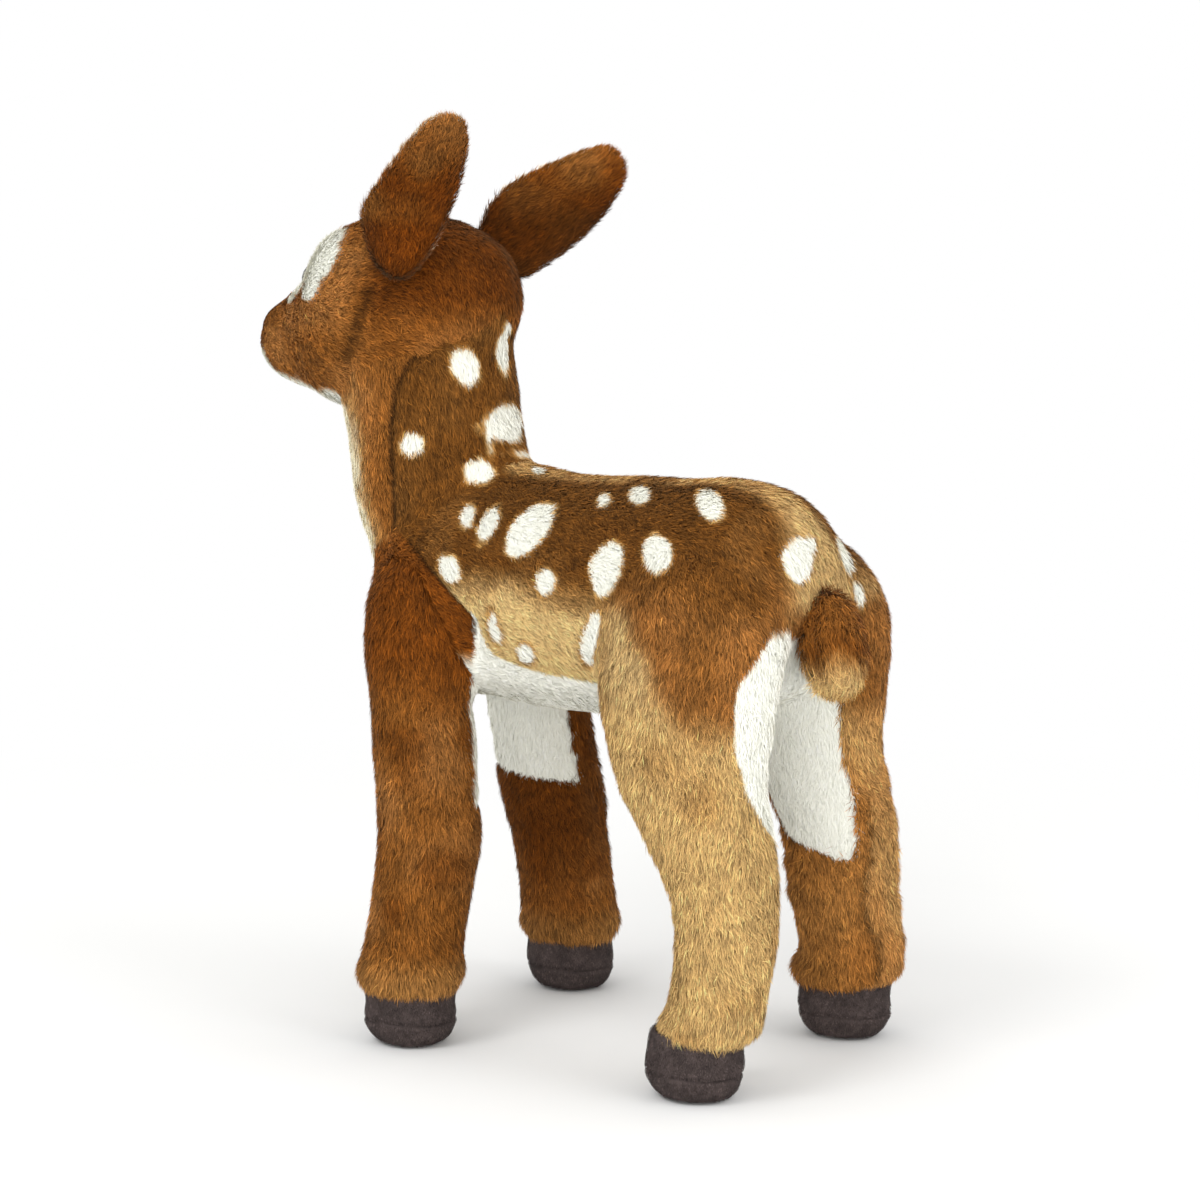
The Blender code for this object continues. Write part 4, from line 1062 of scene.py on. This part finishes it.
# Joins that are eased: limbs, width, rounds along the skin, rounds of easing
JOINS = (
    ([("torso", leg) for leg in LEGS] + [("neck", "torso")], 0.013, 14, 70),
    ([("head", "neck")], 0.008, 10, 25),
)
# Seams between kinds of panel: depth and half width of the groove
GROOVES = (
    ([("belly_panel", "back_panel")], 0.0006, 0.0030),
    ([("inner_panel", "hind_leg"), ("inner_panel", "front_leg")], 0.0008, 0.0030),
    ([("inner_panel", "belly_panel")], 0.0010, 0.0035),
    ([("cheek_panel", "head_gusset")], 0.0005, 0.0030),
)
SPINE_GROOVE = (0.0009, 0.0040)
# Furrows along the photograph's seams: seam, depth, half width, lowest and highest place, how
# far the skin has to face sideways, and the limbs that have it
FURROWS = (
    (COLLAR, 0.0020, 0.0032, 0.215, 0.300, 0.0, ("neck", "head")),
    (CHEEK_FOLD, 0.0022, 0.0045, 0.284, 0.322, 0.5, None),
    (SHOULDER, 0.0020, 0.0040, 0.168, 0.217, 0.4, None),
)
# The neck stands a little ahead of its panels
NECK_SHIFT = 0.0012
NECK_FOOT = (0.218, 0.245)
NECK_HEAD = (0.318, 0.285)
NECK_BACK = (0.008, -0.020)
# The leg flares over its hoof, and its hem hangs a little below the suede's top
FLARE, FLARE_HEIGHT, HEM_DROP = 0.0016, 0.012, 0.0015
BODY_VOXEL, FINE_VOXEL = 0.0020, 0.0010


def limb_of(node):
    """Torso, neck, head or the name of a leg."""
    for limb, nodes in (("torso", TORSO_PANELS), ("neck", NECK_PANELS), ("head", HEAD_PANELS)):
        if node in nodes:
            return limb
    return "_".join(node.split("_")[:2])


def stuffed(points, normals):
    """Swell the skin at the bulges."""
    for centre, size, amount in BULGES:
        places = mirrored(points) if centre[0] > 0 else points
        gap = np.linalg.norm(places - np.array(centre) / MM_PER_M, axis=1)
        gap = gap / (size / MM_PER_M)
        points = points + normals * (amount / MM_PER_M * np.exp(-gap * gap))[:, None]
    return points


def swayed(points, point_limb):
    """Bend the legs as they stand in the photograph."""
    for leg, height, reach, shift, partly in SWAYS:
        place = points @ SLANT
        weight = (point_limb == leg) * np.exp(-(((points[:, 2] - height) / reach) ** 2))
        if partly:
            near = (point_limb == leg) & (np.abs(points[:, 2] - height) < reach)
            low, high = place[near].min(), place[near].max()
            weight = weight * np.clip((high - place) / (high - low), 0, 1)
        points = points + SLANT * (shift * weight)[:, None]
    return points


def groove(points, tris, edges, labels, pairs, depth, wide):
    """Depth of the groove along the seams between pairs of labels."""
    reach = seam_reach(points, tris, edges, labels, pairs, 6)
    return depth * np.clip(1 - reach / wide, 0, 1) ** 1.5


def sewn_depth(points, tris, edges, normals, owners, point_limb):
    """How far the sewn seams draw the skin in."""
    drawn = np.zeros(len(points))
    for seam, depth, wide, low, high, sideways, limbs in FURROWS:
        side = np.clip(1 - np.abs(ahead_of(points, seam)) / wide, 0, 1) ** 1.3
        side = side * (points[:, 2] > low) * (points[:, 2] < high)
        side = side * (np.abs(normals[:, 0]) >= sideways)
        if limbs:
            side = side * np.isin(point_limb, limbs)
        drawn = np.maximum(drawn, depth * side)
    kinds = np.array([kind_of(node) for node in owners])
    for pairs, depth, wide in GROOVES:
        made = groove(points, tris, edges, kinds, pairs, depth, wide)
        drawn = np.maximum(drawn, made)
    halves = np.array([node.split("_")[0] for node in owners])
    halves = np.where(np.isin(kinds, ("back_panel", "nape_panel")), halves, "x")
    made = groove(points, tris, edges, halves, [("left", "right")], *SPINE_GROOVE)
    return np.maximum(drawn, made)


# Round an eye or the nose the pile is bare, then short, and longer on the outer side. The
# first shares are of the piece's diagonal, and the next ones of the reach that they give
REACH_SHARES = {"left_eye": 0.46, "right_eye": 0.46, "nose": 0.50}
BARE_SHARE, SHORT_SHARE, LONG_SHARE = 0.62, 0.7, 1.5
SHORT_LENGTH = 0.45
OUTER_SIDE = (0.001, 0.005)
SNOUT = (-0.125, -0.150)


def body_scale(node, places):
    """Length of the pile at each place, and where any grows."""
    scale = np.ones(len(places))
    keep = np.ones(len(places), bool)
    if node in HEAD_PANELS:
        scale *= 1 - 0.55 * step(*SNOUT, places[:, 1])
        for name, share in REACH_SHARES.items():
            low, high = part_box(name)
            centre, reach = np.array((low + high) / 2), (high - low).length * share
            gap = np.linalg.norm(places - centre, axis=1)
            keep &= gap > reach * BARE_SHARE
            outer = step(*OUTER_SIDE, (places[:, 0] - centre[0]) * np.sign(centre[0]))
            short = SHORT_LENGTH * (1 + outer)
            scale *= short + (1 - short) * step(reach * SHORT_SHARE, reach * LONG_SHARE, gap)
    return scale, keep


def whole(node, places):
    """Full length everywhere, and no bare place."""
    return np.ones(len(places)), np.ones(len(places), bool)


def dress_body(density):
    """One skin for torso, neck, head and legs, with grooves along the seams."""
    points, tris = merged_form("toy", BODY_PANELS + FILLINGS, BODY_VOXEL, 8)
    owners = owners_of(points[tris].mean(axis=1), BODY_PANELS)
    edges = edges_of(tris)
    limb_names = {node: limb_of(node) for node in BODY_PANELS}
    limbs = np.array([limb_names[node] for node in owners])
    point_limb = np.full(len(points), "", dtype=limbs.dtype)
    point_limb[tris[:, 0]] = limbs
    for joins, wide, rounds, easing in JOINS:
        reach = seam_reach(points, tris, edges, limbs, joins, rounds)
        points = relaxed(points, edges, np.exp(-((reach / wide) ** 2)), easing)
    points = stuffed(points, point_normals(points, tris))
    points = swayed(points, point_limb)
    neck = step(*NECK_FOOT, points[:, 2]) * step(*NECK_HEAD, points[:, 2])
    points[:, 1] -= NECK_SHIFT * neck * step(*NECK_BACK, points[:, 1])
    normals = point_normals(points, tris)
    drawn = sewn_depth(points, tris, edges, normals, owners, point_limb)
    wave = 0.0007 * noise(points, 0.020, 71) + 0.0004 * noise(points, 0.008, 72)
    points += normals * (FULLNESS + wave - drawn)[:, None]
    points = relaxed(points, edges, np.ones(len(points)), 2)
    flare = FLARE * step(HOOF_TOP + FLARE_HEIGHT, HOOF_TOP, points[:, 2])
    points[:, :2] += normals[:, :2] * flare[:, None]
    normals = point_normals(points, tris)
    shown = points[tris].mean(axis=1)[:, 2] > HOOF_TOP - HEM_DROP
    tris, owners = tris[shown], owners[shown]
    skin = grow("toy", "toy", BODY_PANELS, points, tris, normals, owners, density, body_scale)
    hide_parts(*FILLINGS)


# Left ear: breadth added in front along its length, and taken off behind. Right ear: breadth
# added at its upper edge, at the base and at the tip, and how far its tip is pulled in
LEFT_EAR_FRONT = ((0.0, 0.2, 0.3, 0.4, 0.5, 0.7), (0.58, 0.60, 0.42, 0.24, 0.09, -0.08))
LEFT_EAR_BACK = -0.16
LEFT_EAR_AHEAD = np.array((0.57, -0.82, 0.0))
RIGHT_EAR_BREADTH, RIGHT_EAR_BASE_GAIN, RIGHT_EAR_TIP_LOSS = 0.10, 0.34, 0.20
RIGHT_EAR_TIP_PULL = 0.003
RIM, RIM_WIDTH, LEAF_PUFF = 0.0004, 0.004, 0.0006
# The tail's white underside: its direction, and how squarely the skin faces that way
TAIL_UNDER = unit(np.array((0.0, -0.89, -0.46)))
TAIL_UNDER_SHARE = 0.75


def rolled_ear(body, points, leaves):
    """Broad blades: the left ear rolls open in front, the right one at its upper edge."""
    hinge, along = HINGES[body], AXES[leaves[0]]
    co = joined(leaves)[0]
    length = ((co - hinge) @ along).max()
    face = joined(leaves[:1])[0].mean(axis=0) - joined(leaves[1:])[0].mean(axis=0)
    across = unit(np.cross(along, face))
    toward = LEFT_EAR_AHEAD if body == "left_ear" else np.array((0.0, 0.0, 1.0))
    across = across * np.sign(across @ toward)
    aside = (points - co.mean(axis=0)) @ across
    run = (points - hinge) @ along / length
    if body == "left_ear":
        widen = np.where(aside > 0, np.interp(run, *LEFT_EAR_FRONT), LEFT_EAR_BACK)
        return points + across * (aside * widen)[:, None]
    edge = RIGHT_EAR_BASE_GAIN * step(0.65, 0.2, run) - RIGHT_EAR_TIP_LOSS * step(0.45, 0.8, run)
    widen = RIGHT_EAR_BREADTH + edge * (aside > 0)
    points = points - along * (RIGHT_EAR_TIP_PULL * step(0.5, 1.0, run))[:, None]
    return points + across * (aside * widen)[:, None]


def dress_leaves(body, density):
    """An ear or the tail: the pile runs from its seam to its tip."""
    leaves = [body + "_back", body + "_lining"] if "ear" in body else ["tail_top", "tail_underside"]
    hinge = HINGES[body]
    co = joined(leaves)[0]
    far = co[np.argmax(np.linalg.norm(co - hinge, axis=1))]
    for name in leaves:
        AXES[name] = unit(far - hinge)
    points, tris = merged_form(body, leaves, FINE_VOXEL, 5)
    owners = owners_of(points[tris].mean(axis=1), leaves)
    edges = edges_of(tris)
    normals = point_normals(points, tris)
    rim = 0.0
    if body == "tail":
        # brown pile wraps the tail, and only its underside is white
        under = normals[tris].mean(axis=1) @ TAIL_UNDER
        owners = np.where(under > TAIL_UNDER_SHARE, "tail_underside", "tail_top")
    else:
        points = rolled_ear(body, points, leaves)
        reach = seam_reach(points, tris, edges, owners, [tuple(leaves)], 8)
        rim = RIM * np.clip(1 - reach / RIM_WIDTH, 0, 1)
    puff = LEAF_PUFF + 0.0004 * noise(points, 0.012, 73) + rim
    points = points + normals * puff[:, None]
    normals = point_normals(points, tris)
    skin = grow(body, body, leaves, points, tris, normals, owners, density * 1.1, whole)


# Sole seam of a hoof: waves and puckers round it; swell and groove with their half widths
SEAM_WAVES, SEAM_PUCKERS = 3, 46
SEAM_WAVE = 0.0004
SEAM_SWELL = (0.0007, 0.006)
SEAM_DEPTH = (0.0013, 0.0016)
SEAM_DARK = 0.0012
# How far suede and nap keep from the floor, and the nap from the seam
FLOOR_GAP, NAP_START, NAP_GAP = 0.0002, 0.0012, 0.0006


def dress_hoof(leg):
    """Suede with a puckered sole seam."""
    names = [leg + "_hoof_cover", leg + "_hoof_sole"]
    points, tris = merged_form(leg + "_hoof", names, FINE_VOXEL, 3)
    normals = point_normals(points, tris)
    low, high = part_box(names[0])
    axis = np.array(((low.x + high.x) / 2, (low.y + high.y) / 2))
    radial = points[:, :2] - axis
    angle = np.arctan2(radial[:, 1], radial[:, 0])
    outer = np.linalg.norm(radial, axis=1) > HOOF_CORE
    gap = np.abs(points[:, 2] - SOLE_SEAM - SEAM_WAVE * np.sin(angle * SEAM_WAVES + 1))
    pucker = 1 + 0.55 * np.sin(angle * SEAM_PUCKERS)
    lift = SEAM_SWELL[0] * np.clip(1 - gap / SEAM_SWELL[1], 0, 1)
    lift -= SEAM_DEPTH[0] * pucker * np.clip(1 - gap / SEAM_DEPTH[1], 0, 1) ** 1.5
    lift += 0.0006 * noise(points, 0.007, 61)
    points += normals * (outer * lift)[:, None]
    points[:, 2] = np.maximum(points[:, 2], FLOOR_GAP)
    normals = point_normals(points, tris)
    colours = linear(suede_colour(points, normals))
    colours = colours * (1 - 0.5 * outer * np.clip(1 - gap / SEAM_DARK, 0, 1))[:, None]
    middles = points[tris].mean(axis=1)
    away = np.linalg.norm(middles[:, :2] - axis, axis=1) > HOOF_CORE
    for name, mine in zip(names, (middles[:, 2] >= SOLE_SEAM, middles[:, 2] < SOLE_SEAM)):
        mesh = skin_mesh(name + "_suede", points, tris[mine], normals, colours)
        shell = add_object(name + "_suede", mesh)
        shell.data.materials.append(SUEDE)
        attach(shell, "toy")
        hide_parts(name)
        places, facing = scattered(points, tris[mine & away], normals, DENSITY * 1.2)
        keep = (places[:, 2] > NAP_START) & (np.abs(places[:, 2] - SOLE_SEAM) > NAP_GAP)
        places, facing = places[keep], facing[keep]
        mesh = pile_mesh(name + "_nap", name, places, facing, np.ones(len(places)), NAP_WIDTH)
        nap = add_object(name + "_nap", mesh)
        nap.data.materials.append(SUEDE)
        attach(nap, "toy")


def dress_face():
    """The hard face pieces keep their packed form."""
    eye = plastic_material("eye_gloss", (0.004, 0.002, 0.001), (0.014, 0.006, 0.003), 0.04, 0.35)
    nose = plastic_material(
        "nose_satin", (0.005, 0.004, 0.004), (0.010, 0.009, 0.009), 0.34, 0.30, 0.35, 900.0
    )
    clear = plastic_material("washer_moulded", (0.55, 0.55, 0.53), (0.65, 0.65, 0.62), 0.45)
    for piece, plastic in (("left_eye", eye), ("right_eye", eye), ("nose", nose)):
        for name, material in ((piece, plastic), (piece + "_washer", clear)):
            item = NODES[name]
            item.data.materials.clear()
            item.data.materials.append(material)


# Studio: the floor's radius, height and tone, and where it fades into the white backdrop
FLOOR_RADIUS, FLOOR_HEIGHT, FLOOR_TONE = 6.0, -0.0002, 0.80
FLOOR_FADE = (0.35, 0.75)
DAYLIGHT = 1.05


def lay_floor():
    """A pale floor, which the camera sees fade into white."""
    mesh = bpy.data.meshes.new("studio_floor")
    bm = bmesh.new()
    bmesh.ops.create_circle(bm, cap_ends=True, segments=96, radius=FLOOR_RADIUS)
    bm.to_mesh(mesh)
    bm.free()
    floor = add_object("studio_floor", mesh)
    floor.location = (0, 0, FLOOR_HEIGHT)
    material, tree, shader = node_material("floor_white", 0.9, 0.0)
    shader.inputs["Base Color"].default_value = (FLOOR_TONE, FLOOR_TONE, FLOOR_TONE, 1)
    bright = add_node(tree, "Emission", Color=(1, 1, 1, 1))
    blend = add_node(tree, "MixShader")
    distance = add_node(tree, "VectorMath")
    distance.operation = "LENGTH"
    fade = add_node(tree, "MapRange", From_Min=FLOOR_FADE[0], From_Max=FLOOR_FADE[1])
    seen = add_node(tree, "Math")
    seen.operation = "MULTIPLY"
    wire(
        tree,
        (add_node(tree, "TexCoord"), "Object", distance, 0),
        (distance, "Value", fade, "Value"),
        (fade, "Result", seen, 0),
        (add_node(tree, "LightPath"), "Is Camera Ray", seen, 1),
        (seen, "Value", blend, "Fac"),
        (shader, "BSDF", blend, 1),
        (bright, "Emission", blend, 2),
        (blend, "Shader", tree.nodes["Material Output"], "Surface"),
    )
    mesh.materials.append(material)


def light_world():
    """Even daylight, which the camera sees as a white backdrop."""
    world = bpy.data.worlds.new("studio")
    SCENE.world = world
    world.use_nodes = True
    tree = world.node_tree
    daylight = tree.nodes["Background"]
    daylight.inputs["Color"].default_value = (1.0, 1.0, 0.985, 1)
    daylight.inputs["Strength"].default_value = DAYLIGHT
    backdrop = add_node(tree, "Background", Color=(1, 1, 1, 1), Strength=1.0)
    blend = add_node(tree, "MixShader")
    wire(
        tree,
        (add_node(tree, "LightPath"), "Is Camera Ray", blend, "Fac"),
        (daylight, "Background", blend, 1),
        (backdrop, "Background", blend, 2),
        (blend, "Shader", tree.nodes["World Output"], "Surface"),
    )


def soft_light(name, place, size, power):
    lamp = bpy.data.lights.new(name, "AREA")
    lamp.shape = "DISK"
    lamp.size = size
    lamp.energy = power
    item = add_object(name, lamp)
    item.location = place
    item.rotation_mode = "QUATERNION"
    item.rotation_quaternion = (AIM - place).to_track_quat("-Z", "Y")


# The photograph's camera stands at the left and behind
AZIMUTH = math.radians(125.01)
TILT = math.radians(7.62)
CAMERA_PLACE = Vector((1.12864, 0.81558, 0.37332))
FOCAL_LENGTH, SENSOR_WIDTH = 97.66, 36
AIM = Vector((0, 0, 0.2))


def set_studio():
    """The camera, and lights that are placed from it: right, behind the camera, and up."""
    right = Vector((math.cos(AZIMUTH), math.sin(AZIMUTH), 0))
    ahead = Vector((math.sin(AZIMUTH), -math.cos(AZIMUTH), 0))
    back = ahead * math.cos(TILT) + Vector((0, 0, math.sin(TILT)))
    lens = bpy.data.cameras.new("photo_camera")
    lens.lens = FOCAL_LENGTH
    lens.sensor_width = SENSOR_WIDTH
    camera = add_object("photo_camera", lens)
    pose = Matrix((right, back.cross(right), back)).transposed().to_4x4()
    pose.translation = CAMERA_PLACE
    camera.matrix_world = pose
    SCENE.camera = camera
    for name, aside, behind, height, size, power in (
        ("key_light", -0.9, 1.1, 1.25, 0.9, 12),
        ("fill_light", 1.3, 0.9, 0.7, 1.2, 8),
        ("front_light", 0.0, 2.0, -0.3, 1.6, 15),
    ):
        place = AIM + right * aside + back * behind + Vector((0, 0, height))
        soft_light(name, place, size, power)


density = DENSITY * 1.0
dress_body(density)
for body in HINGES:
    dress_leaves(body, density)
for leg in LEGS:
    dress_hoof(leg)
dress_face()
lay_floor()
light_world()
set_studio()

SCENE.view_settings.view_transform = "Standard"
